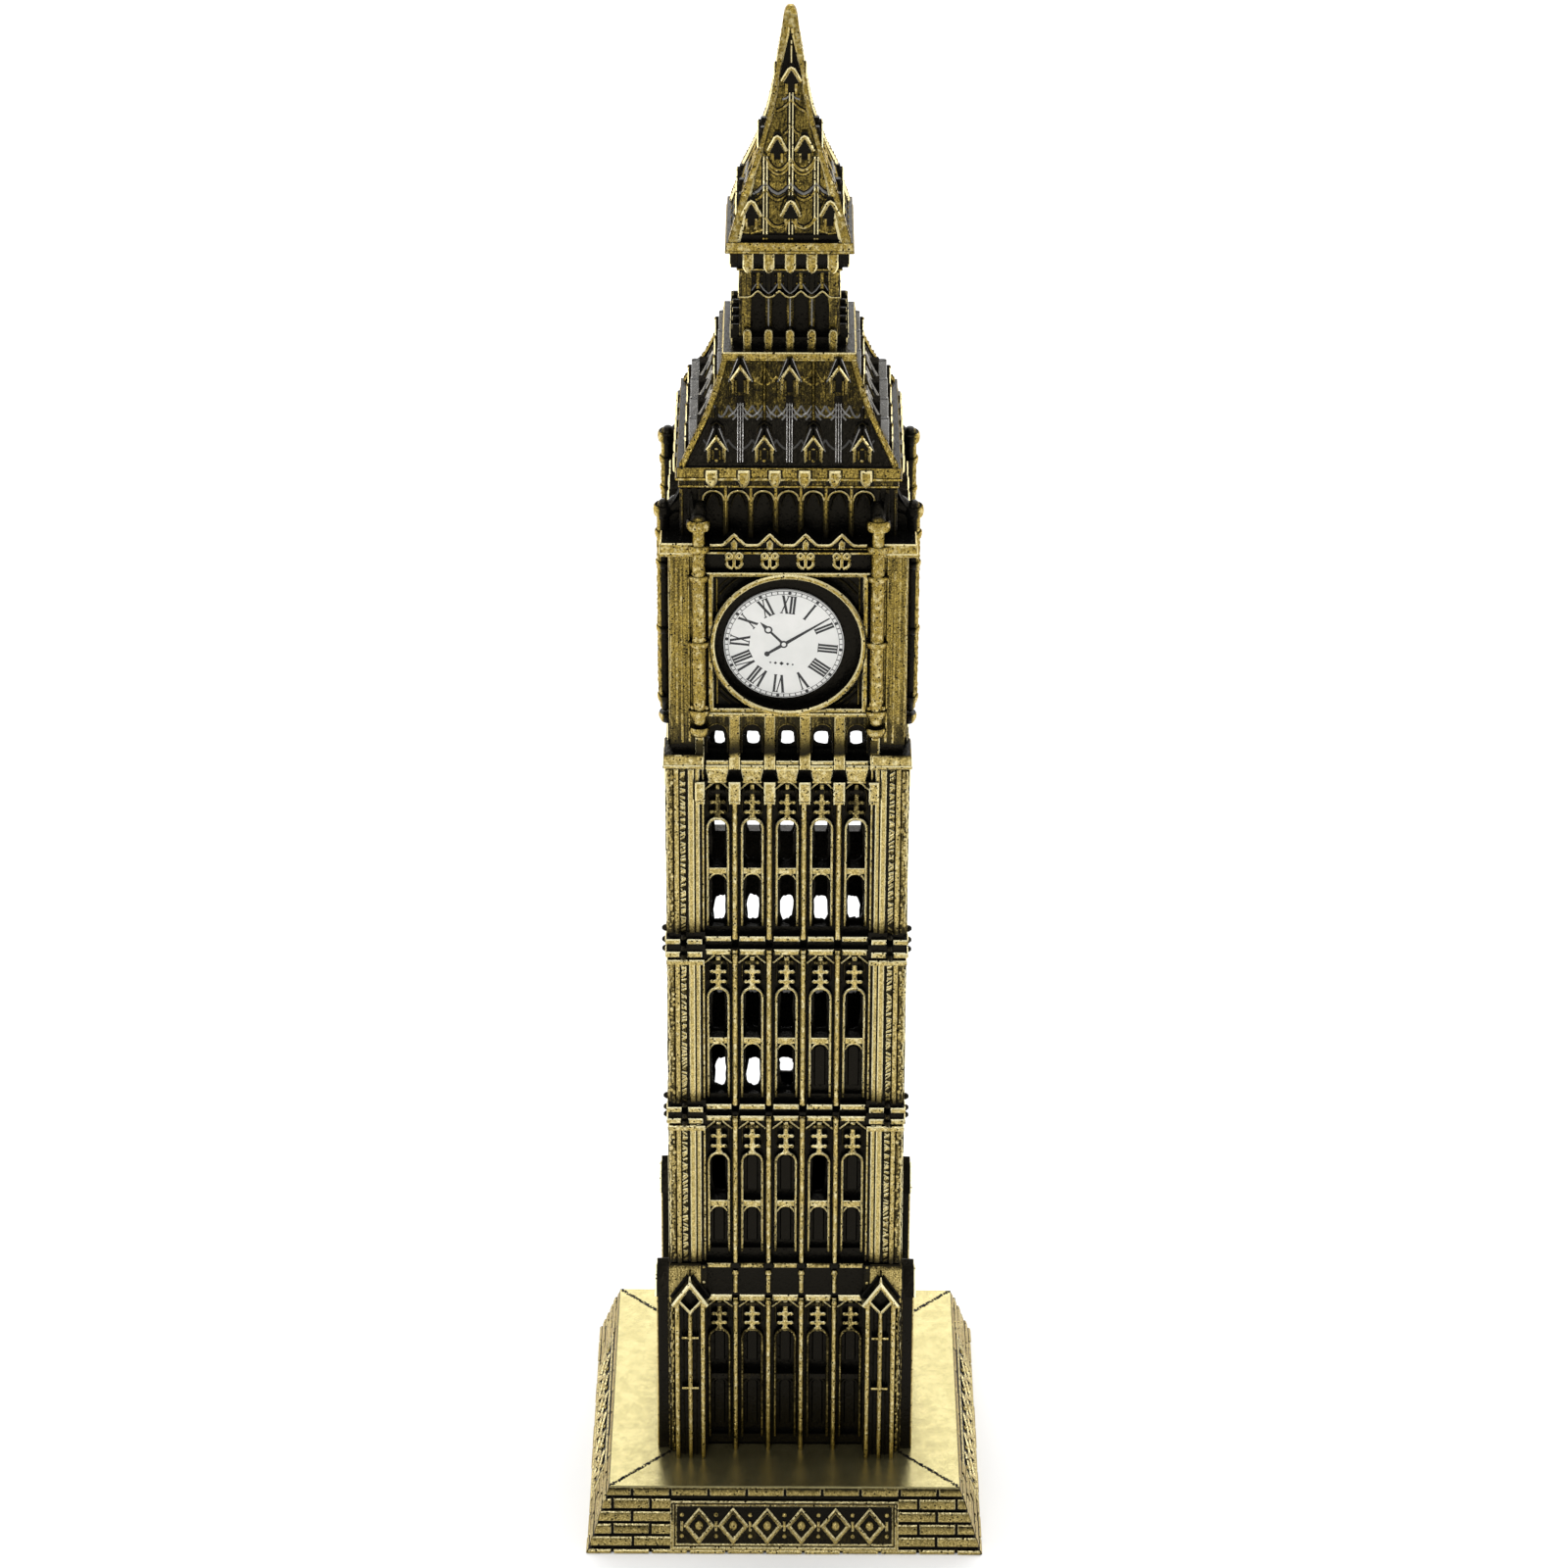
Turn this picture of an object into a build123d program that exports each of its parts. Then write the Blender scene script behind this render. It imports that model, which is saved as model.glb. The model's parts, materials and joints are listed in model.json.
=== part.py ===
"""Gothic clock-tower souvenir: four hollow zinc castings joined on mitred corner seams, four printed dials and a base pad.

+Z is up, the front casting faces -Y, and the origin is the centre of the underside.
Every casting is relief pulled along its own outward normal: d is the distance of a face from the tower's axis.
"""
import os

from build123d import *

os.makedirs("parts", exist_ok=True)

# ---- driving dimensions, mm ----
total_height = 180.0
base_half_bottom, base_half_top, base_height = 22.9, 20.3, 7.71
plate_thickness = 1.4
pad_half, pad_thickness = 21.0, 1.6

shaft_half, bay_plane, wall_inner = 13.18, 11.7, 10.2
colonnette_plane, colonnette_width = 12.85, 0.66
colonnettes = (-9.5, -5.66, -1.95, 1.82, 5.62, 9.48)
bays = (-7.55, -3.8, 0.0, 3.76, 7.52)
window_width = 2.06
buttress_inner = 10.1

# tiers of the shaft, from the foot up
ledge_low, ledge_high = 29.45, 33.4
string_2 = (53.4, 55.1)
string_1 = (74.9, 76.8)
shaft_top = 97.6

clock_plane, frame_plane = 11.9, 13.0
clock_low, clock_high, clock_centre_z = 104.2, 121.3, 112.82
ring_outer, ring_inner = 8.39, 7.85
dial_radius, dial_thickness, dial_offset = 6.48, 0.45, -0.45
pier_half = 12.68
cornice = (123.7, 125.06, 13.6)
column_x, column_radius = 9.5, 0.6
parapet_top = 124.5

belfry_plane, belfry_pier, belfry_high = 10.3, 11.47, 130.7
arch_centres = (-7.98, -5.33, -2.66, -0.03, 2.63, 5.3, 7.98)
eave_low, eave_high, eave_half = 130.7, 133.03, 11.7
lantern_plane, lantern_half = 4.5, 5.2
lantern_low, lantern_high = 143.3, 152.5
spire_rim_half = 6.68

# outer line of a casting's bare wall, (d, z), from the ground to the tip
outer_line = [
    (base_half_bottom, 0.0),
    (base_half_top, base_height),
    (bay_plane, base_height),
    (bay_plane, clock_low),
    (clock_plane, clock_low),
    (clock_plane, 124.4),
    (belfry_plane, 124.4),
    (belfry_plane, eave_low),
    (11.2, eave_low),
    (11.2, 132.6),
    (9.85, 135.6),
    (8.6, 138.0),
    (7.65, 140.3),
    (6.9, 143.4),
    (lantern_plane, 143.4),
    (lantern_plane, lantern_high),
    (5.9, 154.7),
    (6.3, 155.2),
    (6.3, 156.0),
    (4.85, 160.9),
    (2.95, 165.6),
    (1.78, 170.5),
    (1.0, 175.5),
    (0.35, 179.55),
    (0.0, total_height),
]
# inner line of the wall, from the tip's solid core back to the ground
inner_line = [
    (0.0, 171.5),
    (0.6, 170.0),
    (1.6, 165.3),
    (3.3, 160.6),
    (4.6, 155.4),
    (4.3, 154.2),
    (3.2, 152.6),
    (3.2, 142.1),
    (5.5, 142.0),
    (6.25, 140.0),
    (7.1, 137.6),
    (8.3, 135.2),
    (8.9, 133.0),
    (8.9, 123.0),
    (wall_inner, 123.0),
    (wall_inner, base_height - plate_thickness),
    (19.35, base_height - plate_thickness),
    (pad_half, pad_thickness),
    (pad_half, 0.0),
]


def front(d):
    """Plane facing outward (-Y) at distance d from the axis; its local y is height."""
    return Plane(origin=(0, -d, 0), x_dir=(1, 0, 0), z_dir=(0, -1, 0))


def side(x=0.0):
    """Plane facing +X; its local x runs inward, so -d is a distance from the axis."""
    return Plane(origin=(x, 0, 0), x_dir=(0, 1, 0), z_dir=(1, 0, 0))


with BuildPart() as front_casting:
    # bare hollow wall
    with BuildSketch(side()):
        with BuildLine():
            Polyline(*[(-d, z) for d, z in outer_line + inner_line], close=True)
        make_face()
    extrude(amount=24.0, both=True)

    # brick skirt: six courses standing out of the slope as steps
    for low, high, half in (
        (0.0, 0.72, 22.9),
        (0.95, 2.05, 22.62),
        (2.3, 3.45, 22.2),
        (3.7, 4.9, 21.75),
        (5.15, 6.3, 21.3),
        (6.5, base_height, 20.9),
    ):
        with BuildSketch(side()):
            with BuildLine():
                Polyline(
                    (-(half - 1.2), low), (-half, low), (-half, high), (-(half - 1.2), high), close=True
                )
            make_face()
        extrude(amount=24.0, both=True)

    # corner buttresses of the shaft
    with BuildSketch(front(11.0)):
        with Locations((-12.1, 52.6), (12.1, 52.6)):
            Rectangle(4.0, 90.0)
    extrude(amount=shaft_half - 11.0)
    # grooves dividing each buttress into mouldings, tier by tier
    with BuildSketch(front(shaft_half - 0.5)):
        for low, high in ((34.2, 52.6), (56.0, 74.2), (77.6, 96.6)):
            with Locations((-11.4, (low + high) / 2), (11.4, (low + high) / 2)):
                Rectangle(0.8, high - low)
    extrude(amount=1.0, mode=Mode.SUBTRACT)

    # colonnettes between the five bays
    with BuildSketch(front(11.0)):
        for x in colonnettes[1:5]:
            with Locations((x, (7.7 + shaft_top) / 2)):
                Rectangle(colonnette_width, shaft_top - 7.7)
        for x in (colonnettes[0], colonnettes[5]):
            with Locations((x, (33 + shaft_top) / 2)):
                Rectangle(colonnette_width, shaft_top - 33)
    extrude(amount=colonnette_plane - 11.0)

    # heads and sills of the windows
    with BuildSketch(front(11.4)):
        for low, high in ((91.0, 93.0), (84.3, 85.1), (69.6, 71.0), (62.5, 63.4), (47.7, 49.2), (41.0, 41.8), (24.0, 25.6), (17.0, 18.0)):
            with Locations((0, (low + high) / 2)):
                Rectangle(19.6, high - low)
    extrude(amount=12.2 - 11.4)
    # tracery heads of the tiers
    with BuildSketch(front(11.4)):
        for low, high in ((93.0, 96.0), (71.0, 73.6), (49.2, 52.4), (25.6, 28.6)):
            for x in bays:
                with Locations((x, (low + high) / 2)):
                    Rectangle(0.62, high - low)
                with Locations((x, low + (high - low) * 0.35), (x, low + (high - low) * 0.75)):
                    Rectangle(2.0, 0.42)
    extrude(amount=12.5 - 11.4)

    # string courses, two bars each, carried round the buttresses
    for low, high in ((53.3, 54.25), (54.6, 55.5), (74.5, 75.3), (75.9, 76.8)):
        with BuildSketch(front(11.4)):
            with Locations((0, (low + high) / 2)):
                Rectangle(28.0, high - low)
        extrude(amount=13.3 - 11.4)
    # sloped ledge over the lowest tier
    with BuildSketch(side()):
        with BuildLine():
            Polyline((-11.2, 28.5), (-12.9, 28.5), (-12.9, 29.45), (-12.3, 32.8), (-12.9, 33.0), (-12.9, 33.6), (-11.2, 33.6), close=True)
        make_face()
    extrude(amount=9.8, both=True)

    # corner niches: gabled frames standing in front of the lowest tier's buttresses
    with BuildSketch(front(12.9)):
        for s in (-1, 1):
            with BuildLine():
                Polyline(
                    (s * 12.62, 7.7), (s * 12.62, 29.4), (s * 10.9, 32.3), (s * 9.18, 29.4), (s * 9.18, 7.7), close=True
                )
            make_face()
    extrude(amount=14.7 - 12.9)
    with BuildSketch(front(13.7)):
        for s in (-1, 1):
            for low, high in ((8.6, 17.2), (17.8, 24.2), (24.8, 27.6)):
                with Locations((s * 10.9 - 0.72, (low + high) / 2), (s * 10.9 + 0.72, (low + high) / 2)):
                    Rectangle(0.9, high - low)
            with Locations((s * 10.9, 29.9)):
                Rectangle(1.35, 1.35, rotation=45)
    extrude(amount=1.4, mode=Mode.SUBTRACT)
    # hoods over the niches
    with BuildSketch(front(12.9)):
        with Locations((-11.7, 31.9), (11.7, 31.9)):
            Rectangle(3.6, 3.4)
    extrude(amount=0.75)

    # brackets and sill under the arcade below the clock
    with BuildSketch(front(11.4)):
        for x in (-9.5, -5.73, -1.9, 1.87, 5.64, 9.4):
            with Locations((x, 94.9)):
                Rectangle(1.3, 2.9)
    extrude(amount=13.3 - 11.4)
    with BuildSketch(front(11.4)):
        with Locations((0, 97.55)):
            Rectangle(19.6, 1.5)
    extrude(amount=12.9 - 11.4)
    with BuildSketch(front(11.4)):
        with Locations((0, 98.75)):
            Rectangle(28.0, 1.3)
    extrude(amount=13.41 - 11.4)

    # arcade below the clock: piers and arched heads
    with BuildSketch(front(11.4)):
        for x in (-9.5, -5.73, -1.9, 1.87, 5.64, 9.4):
            with Locations((x, 101.7)):
                Rectangle(1.2, 5.4)
        with Locations((0, 103.75)):
            Rectangle(19.6, 1.2)
    extrude(amount=12.9 - 11.4)

    # clock stage: corner piers, square frame and ring
    with BuildSketch(front(11.4)):
        with Locations((-12.0, 111.5), (12.0, 111.5)):
            Rectangle(4.4, 24.4)
    extrude(amount=pier_half - 11.4)
    with BuildSketch(front(11.6)):
        with Locations((0, (clock_low + clock_high) / 2)):
            Rectangle(17.3, clock_high - clock_low)
            Rectangle(15.3, clock_high - clock_low - 2.0, mode=Mode.SUBTRACT)
    extrude(amount=frame_plane - 11.6)
    with BuildSketch(front(11.6)):
        with Locations((0, clock_centre_z)):
            Circle(ring_outer)
            Circle(ring_inner, mode=Mode.SUBTRACT)
    extrude(amount=frame_plane + 0.25 - 11.6)

    # round columns beside the dial, with rings, knob, neck and cap
    for s in (-1, 1):
        with BuildSketch(front(11.4)):
            with Locations((s * column_x, 113.4)):
                Rectangle(2 * column_radius, 19.8)
            with Locations((s * column_x, 101.0)):
                Rectangle(0.9, 4.6)
        extrude(amount=13.9 - 11.4)
        with BuildSketch(front(11.4)):
            for z in (103.0, 105.0, 112.9 + 0.35, 120.9, 124.55):
                with Locations((s * column_x, z)):
                    Rectangle(2.0, 0.9)
        extrude(amount=14.2 - 11.4)
        with BuildSketch(front(9.9)):
            with Locations((s * column_x, 127.3)):
                RectangleRounded(2.4, 1.8, 0.5)
            with Locations((s * column_x, 125.3)):
                Rectangle(1.1, 3.2)
        extrude(amount=14.28 - 9.9)

    # parapet with four gables, corner cornice
    with BuildSketch(front(11.6)):
        with BuildLine():
            pts = [(-9.4, 121.3), (-9.4, 124.35)]
            for x in (-5.75, -1.95, 1.83, 5.66):
                pts += [(x - 1.15, 124.35), (x, 125.8), (x + 1.15, 124.35)]
            Polyline(*pts, (9.4, 124.35), (9.4, 121.3), close=True)
        make_face()
    extrude(amount=12.6 - 11.6)
    with BuildSketch(front(11.6)):
        with Locations((0, 123.5)):
            Rectangle(18.8, 0.35)
        for x in (-5.75, -1.95, 1.83, 5.66):
            with Locations((x, 122.8)):
                Rectangle(1.7, 1.7)
    extrude(amount=13.1 - 11.6)
    for s in (-1, 1):
        with BuildSketch(front(10.3)):
            with Locations((s * 12.2, (cornice[0] + cornice[1]) / 2)):
                Rectangle(4.4, cornice[1] - cornice[0])
        extrude(amount=cornice[2] - 10.3)

    # belfry: corner piers, arcade of seven arches, eaves with bosses
    with BuildSketch(front(9.6)):
        with Locations((0, 127.55)):
            Rectangle(24.0, 6.4)
        for x in arch_centres:
            with Locations((x, 127.3)):
                SlotOverall(5.8, 2.1, rotation=90, mode=Mode.SUBTRACT)
        with Locations((0, 124.4)):
            Rectangle(18.0, 2.6, mode=Mode.SUBTRACT)
    extrude(amount=belfry_pier - 9.6)
    with BuildSketch(front(10.9)):
        with Locations((0, 132.35)):
            Rectangle(26.0, 1.36)
    extrude(amount=eave_half - 10.9)
    with BuildSketch(front(10.9)):
        for x in (-8.12, -4.72, -1.52, 1.67, 4.87, 8.17):
            with Locations((x, 131.9)):
                RectangleRounded(1.2, 2.0, 0.5)
    extrude(amount=12.2 - 10.9)

    # roof: ribs, ridges, rim and two rows of gabled dormers
    with BuildSketch(front(6.2)):
        with Locations((0, 143.75)):
            Rectangle(18.0, 0.75)
    extrude(amount=7.05 - 6.2)
    with BuildSketch(front(6.0)):
        for x in (-5.1, 0.08, 5.2):
            with Locations((x, 141.2)):
                Rectangle(1.4, 3.2)
            with Locations((x, 142.6)):
                Rectangle(1.3, 1.3, rotation=45)
    extrude(amount=8.5 - 6.0)
    with BuildSketch(front(8.4)):
        for x in (-7.6, -2.58, 2.59, 7.7):
            with Locations((x, 134.2)):
                Rectangle(1.5, 3.4)
            with Locations((x, 135.8)):
                Rectangle(1.4, 1.4, rotation=45)
    extrude(amount=11.0 - 8.4)

    # lantern: openings between slender posts over a solid parapet
    with BuildSketch(front(4.2)):
        for x in (-4.36, -2.11, 0.13, 2.38, 4.63):
            with Locations((x * 0.98, 148.0)):
                Rectangle(0.62 if abs(x) < 4 else 1.15, 9.2)
        with Locations((0, 151.5), (0, 145.0)):
            Rectangle(10.6, 2.0)
    extrude(amount=lantern_half - 4.2)
    # corbels and rim at the foot of the spire
    with BuildSketch(front(4.2)):
        for x in (-4.36, -2.11, 0.13, 2.38, 4.63):
            with Locations((x, 153.7)):
                Rectangle(1.1, 2.1)
    extrude(amount=6.05 - 4.2)
    with BuildSketch(front(5.6)):
        with Locations((0, 155.75)):
            Rectangle(14.0, 1.15)
    extrude(amount=spire_rim_half - 5.6)

    # spire: three rows of gabled dormers
    for row_z, xs, low, high in ((158.9, (-4.0, 0.1, 4.2), 3.4, 5.9), (165.3, (-1.35, 1.5), 1.7, 3.9), (172.2, (0.1,), 0.8, 2.2)):
        with BuildSketch(front(low)):
            for x in xs:
                with Locations((x, row_z - 0.6)):
                    Rectangle(1.35, 1.7)
                with Locations((x, row_z + 0.3)):
                    Rectangle(1.25, 1.25, rotation=45)
        extrude(amount=high - low)

    # raised frame of the blank name plate on the skirt
    with BuildSketch(front(pad_half)):
        with Locations((0, 3.3)):
            Rectangle(26.5, 5.9)
    extrude(amount=22.35 - pad_half)
    with BuildSketch(front(21.75)):
        with Locations((0, 3.3)):
            Rectangle(24.9, 4.4)
    extrude(amount=1.0, mode=Mode.SUBTRACT)

    # upright joints of the bricks
    with BuildSketch(front(20.4)):
        for k in range(-4, 5):
            with Locations((k * 4.42, 7.15)):
                Rectangle(0.45, 1.15)
    extrude(amount=1.5, mode=Mode.SUBTRACT)
    with BuildSketch(front(21.2)):
        for z, h, xs in ((5.7, 1.15, (15.47, 19.88)), (4.3, 1.2, (17.6,)), (2.85, 1.15, (15.5, 19.9)), (1.5, 1.1, (17.6,))):
            for x in xs:
                with Locations((-x, z), (x, z)):
                    Rectangle(0.45, h)
    extrude(amount=2.2, mode=Mode.SUBTRACT)

    # open windows: arcade, top tier, second tier and the upper lights of the third
    with BuildSketch(front(9.5)):
        for x in (-7.6, -3.83, -0.03, 3.75, 7.45):
            with Locations((x, 101.0)):
                SlotOverall(4.4, 1.9, rotation=90)
        for x in bays:
            for low, high in ((85.15, 91.0), (77.85, 84.25), (63.5, 69.6), (55.7, 62.4), (41.9, 47.7)):
                with Locations((x, (low + high) / 2)):
                    RectangleRounded(window_width, high - low, 0.8)
    extrude(amount=3.0, mode=Mode.SUBTRACT)
    # blind lights below
    with BuildSketch(front(11.1)):
        for x in bays:
            for low, high in ((34.9, 40.9), (18.1, 23.9), (9.0, 16.9)):
                with Locations((x, (low + high) / 2)):
                    RectangleRounded(window_width, high - low, 0.8)
    extrude(amount=1.5, mode=Mode.SUBTRACT)
    # lantern openings
    with BuildSketch(front(2.8)):
        for x in (-3.15, -0.97, 1.22, 3.4):
            with Locations((x, 148.0)):
                RectangleRounded(1.35, 3.2, 0.5)
    extrude(amount=3.0, mode=Mode.SUBTRACT)

    # recess behind the ring that seats the dial
    with BuildSketch(front(clock_plane - 0.4)):
        with Locations((0, clock_centre_z)):
            Circle(ring_inner)
    extrude(amount=2.5, mode=Mode.SUBTRACT)

    # mitred corner faces: the casting keeps to its own quarter, |x| <= d
    with BuildSketch(Plane.XY.offset(-1)):
        with BuildLine():
            Polyline((0, 0), (-30, -30), (30, -30), close=True)
        make_face()
    extrude(amount=total_height + 2, mode=Mode.INTERSECT)

front_casting.part.label = "front_casting"

with BuildPart() as right_casting:
    add(front_casting.part, rotation=(0, 0, 90))
right_casting.part.label = "right_casting"

with BuildPart() as rear_casting:
    add(front_casting.part, rotation=(0, 0, 180))
rear_casting.part.label = "rear_casting"

with BuildPart() as left_casting:
    add(front_casting.part, rotation=(0, 0, -90))
left_casting.part.label = "left_casting"

# printed dials, each seated on the floor of its recess
with BuildPart() as front_dial:
    with BuildSketch(front(clock_plane - 0.4)):
        with Locations((dial_offset, clock_centre_z)):
            Circle(dial_radius)
    extrude(amount=dial_thickness)
front_dial.part.label = "front_dial"

with BuildPart() as plain_dial:
    with BuildSketch(front(clock_plane - 0.4)):
        with Locations((0.15, clock_centre_z)):
            Circle(dial_radius)
    extrude(amount=dial_thickness)

with BuildPart() as right_dial:
    add(plain_dial.part, rotation=(0, 0, 90))
right_dial.part.label = "right_dial"
with BuildPart() as rear_dial:
    add(plain_dial.part, rotation=(0, 0, 180))
rear_dial.part.label = "rear_dial"
with BuildPart() as left_dial:
    add(plain_dial.part, rotation=(0, 0, -90))
left_dial.part.label = "left_dial"

# soft pad closing the hollow base, flush with the rim of the castings
with BuildPart() as base_pad:
    with BuildSketch(Plane.XY):
        Rectangle(2 * pad_half, 2 * pad_half)
    extrude(amount=pad_thickness)
base_pad.part.label = "base_pad"

for piece in (
    front_casting,
    right_casting,
    rear_casting,
    left_casting,
    front_dial,
    right_dial,
    rear_dial,
    left_dial,
    base_pad,
):
    export_step(piece.part, f"parts/{piece.part.label}.step")
    b = piece.part.bounding_box()
    print(piece.part.label, len(piece.part.solids()), len(piece.part.faces()), round(piece.part.volume, 1), b.min, b.max)
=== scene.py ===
import json
import math
import random

import bpy
import numpy as np
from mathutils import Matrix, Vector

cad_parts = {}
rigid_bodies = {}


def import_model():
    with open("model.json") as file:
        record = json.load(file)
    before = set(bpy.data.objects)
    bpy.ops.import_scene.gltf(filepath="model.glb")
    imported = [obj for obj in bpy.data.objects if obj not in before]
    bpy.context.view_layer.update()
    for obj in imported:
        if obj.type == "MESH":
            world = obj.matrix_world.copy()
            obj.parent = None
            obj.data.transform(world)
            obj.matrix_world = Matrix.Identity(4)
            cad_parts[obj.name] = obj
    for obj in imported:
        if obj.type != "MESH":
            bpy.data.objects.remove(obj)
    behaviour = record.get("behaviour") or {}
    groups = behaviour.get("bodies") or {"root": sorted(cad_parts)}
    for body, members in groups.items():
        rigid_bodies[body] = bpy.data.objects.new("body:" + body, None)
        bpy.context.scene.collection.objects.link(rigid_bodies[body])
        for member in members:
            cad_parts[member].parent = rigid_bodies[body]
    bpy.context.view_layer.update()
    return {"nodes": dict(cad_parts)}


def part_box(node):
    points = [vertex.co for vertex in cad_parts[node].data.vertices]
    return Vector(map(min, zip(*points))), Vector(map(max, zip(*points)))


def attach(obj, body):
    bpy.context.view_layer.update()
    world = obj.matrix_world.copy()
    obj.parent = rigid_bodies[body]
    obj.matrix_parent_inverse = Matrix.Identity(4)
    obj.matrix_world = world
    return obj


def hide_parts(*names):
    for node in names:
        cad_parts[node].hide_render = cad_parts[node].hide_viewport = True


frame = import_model()
MM = 0.001

# ------------------------------------------------------------------ mesh kit
# Relief is drawn on one wall in (x, z, d): x along the wall, z up, d outward from the tower's axis.
KINDS = 3  # 0 sides and backs, 1 chamfers, 2 front faces


class Kit:
    def __init__(self):
        self.classes = {}
        self.groups = {}

    def cls(self, lo, hi, tone, gloss, fade):
        key = (round(lo, 3), round(hi, 3), round(tone, 3), round(gloss, 3), fade)
        return self.classes.setdefault(key, len(self.classes))

    def put(self, verts, faces, kinds, lo, hi, tone=1.0, gloss=0.0, to="add", fade=1.0):
        v = np.asarray(verts, float)
        vol = 0.0
        for f in faces:
            a = v[f[0]]
            for i in range(1, len(f) - 1):
                vol += np.dot(a, np.cross(v[f[i]], v[f[i + 1]]))
        if vol < 0:
            faces = [tuple(reversed(f)) for f in faces]
        c = self.cls(lo, hi, tone, gloss, fade)
        self.groups.setdefault(to, []).append((v, faces, [c * KINDS + k for k in kinds]))


K = Kit()
_zone = {"lo": 11.7, "tone": 1.0, "gloss": 0.0, "to": "add", "fade": 1.0}


def zone(**kw):
    _zone.update(kw)


def rings(rows, kinds_side, caps=(0, 2), **kw):
    """Closed shell through rings of points, each (n, 3)."""
    n = len(rows[0])
    v = np.concatenate([np.asarray(r, float) for r in rows])
    faces, kinds = [], []
    for r in range(len(rows) - 1):
        ks = kinds_side[r] if isinstance(kinds_side, (list, tuple)) else kinds_side
        for i in range(n):
            j = (i + 1) % n
            faces.append((r * n + i, r * n + j, (r + 1) * n + j, (r + 1) * n + i))
            kinds.append(ks[i] if isinstance(ks, (list, tuple)) else ks)
    faces.append(tuple(reversed(range(n))))
    kinds.append(caps[0])
    faces.append(tuple(range((len(rows) - 1) * n, len(rows) * n)))
    kinds.append(caps[1])
    o = dict(_zone)
    o.update(kw)
    top = o.get("hi", float(v[:, 2].max()))
    K.put(v, faces, kinds, o["lo"], top, o["tone"], o["gloss"], o["to"], o["fade"])


def grown(poly, t):
    """The outline moved outward by t (inward if negative); counter-clockwise."""
    p = np.asarray(poly, float)
    n = len(p)
    out = []
    for i in range(n):
        a, b, c = p[i - 1], p[i], p[(i + 1) % n]
        e1, e2 = b - a, c - b
        e1 = e1 / (np.linalg.norm(e1) + 1e-12)
        e2 = e2 / (np.linalg.norm(e2) + 1e-12)
        n1, n2 = np.array([e1[1], -e1[0]]), np.array([e2[1], -e2[0]])
        m = n1 + n2
        k = 1 + float(np.dot(n1, n2))
        out.append(b + m * t / max(k, 0.35))
    return np.array(out)


def ccw(poly):
    p = np.asarray(poly, float)
    x, y = p[:, 0], p[:, 1]
    a = np.sum(x * np.roll(y, -1) - y * np.roll(x, -1))
    return p if a > 0 else p[::-1]


def plate(poly, d0, d1, c=0.09, t=0.05, shear=None, **kw):
    """An outline stood out from d0 to d1 with drafted sides and a chamfered front edge."""
    p = ccw(poly)
    rows = []
    for q, d in ((grown(p, t), d0), (p, d1 - c), (grown(p, -c), d1)):
        dd = np.full(len(q), d)
        if shear:
            dd = dd - shear[0] * (q[:, 1] - shear[1])
        rows.append(np.column_stack([q, dd]))
    if shear:
        kw.setdefault("hi", d1)
    rings(rows, [0, 1], (0, 2), **kw)


def rect(x0, x1, z0, z1):
    return [(x0, z0), (x1, z0), (x1, z1), (x0, z1)]


def box(x0, x1, z0, z1, d0, d1, c=0.09, t=0.04, **kw):
    plate(rect(x0, x1, z0, z1), d0, d1, c, t, **kw)


def oval(x, z, rx, rz=None, n=16, a0=0.0):
    rz = rz or rx
    return [(x + rx * math.cos(a0 + 2 * math.pi * i / n), z + rz * math.sin(a0 + 2 * math.pi * i / n)) for i in range(n)]


def arch(x, w, z0, z1, n=8, k=1.0):
    """A round-headed light, anticlockwise from its lower left corner."""
    r = w / 2
    pts = [(x - r, z0), (x + r, z0)]
    for i in range(n + 1):
        a = math.pi * i / n
        pts.append((x + r * math.cos(a), z1 - r * k + r * k * math.sin(a)))
    return pts


def slab_box(x0, x1, z0, z1, d0, d1, **kw):
    """A plain sharp block."""
    rings(
        [
            [(x0, z0, d0), (x1, z0, d0), (x1, z1, d0), (x0, z1, d0)],
            [(x0, z0, d1), (x1, z0, d1), (x1, z1, d1), (x0, z1, d1)],
        ],
        0,
        (0, 2),
        **kw,
    )


def band(path, w, d0, d1, c=0.07, t=0.04, closed=False, **kw):
    """A moulding of width w run along a path in the wall's plane."""
    p = np.asarray(path, float)
    n = len(p)
    rows = []
    for i in range(n):
        if closed:
            e1, e2 = p[i] - p[i - 1], p[(i + 1) % n] - p[i]
        else:
            e1 = p[i] - p[i - 1] if i > 0 else p[1] - p[0]
            e2 = p[i + 1] - p[i] if i < n - 1 else p[-1] - p[-2]
        e1 = e1 / np.linalg.norm(e1)
        e2 = e2 / np.linalg.norm(e2)
        n1, n2 = np.array([-e1[1], e1[0]]), np.array([-e2[1], e2[0]])
        m = (n1 + n2) / max(1 + float(np.dot(n1, n2)), 0.35)
        row = []
        for s, d in ((-w / 2 - t, d0), (w / 2 + t, d0), (w / 2, d1 - c), (w / 2 - c, d1), (-w / 2 + c, d1), (-w / 2, d1 - c)):
            q = p[i] + m * s
            row.append((q[0], q[1], d))
        rows.append(row)
    kinds = [0, 0, 1, 2, 1, 0]
    if closed:
        m = 6
        v = np.array(rows).reshape(-1, 3)
        faces, ks = [], []
        for r in range(n):
            for i in range(m):
                j = (i + 1) % m
                r2 = (r + 1) % n
                faces.append((r * m + i, r * m + j, r2 * m + j, r2 * m + i))
                ks.append(kinds[i])
        o = dict(_zone)
        o.update(kw)
        K.put(v, faces, ks, o["lo"], o.get("hi", d1), o["tone"], o["gloss"], o["to"], o["fade"])
    else:
        rings([np.array(r) for r in rows], [kinds] * (n - 1), (0, 0), **kw)


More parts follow.
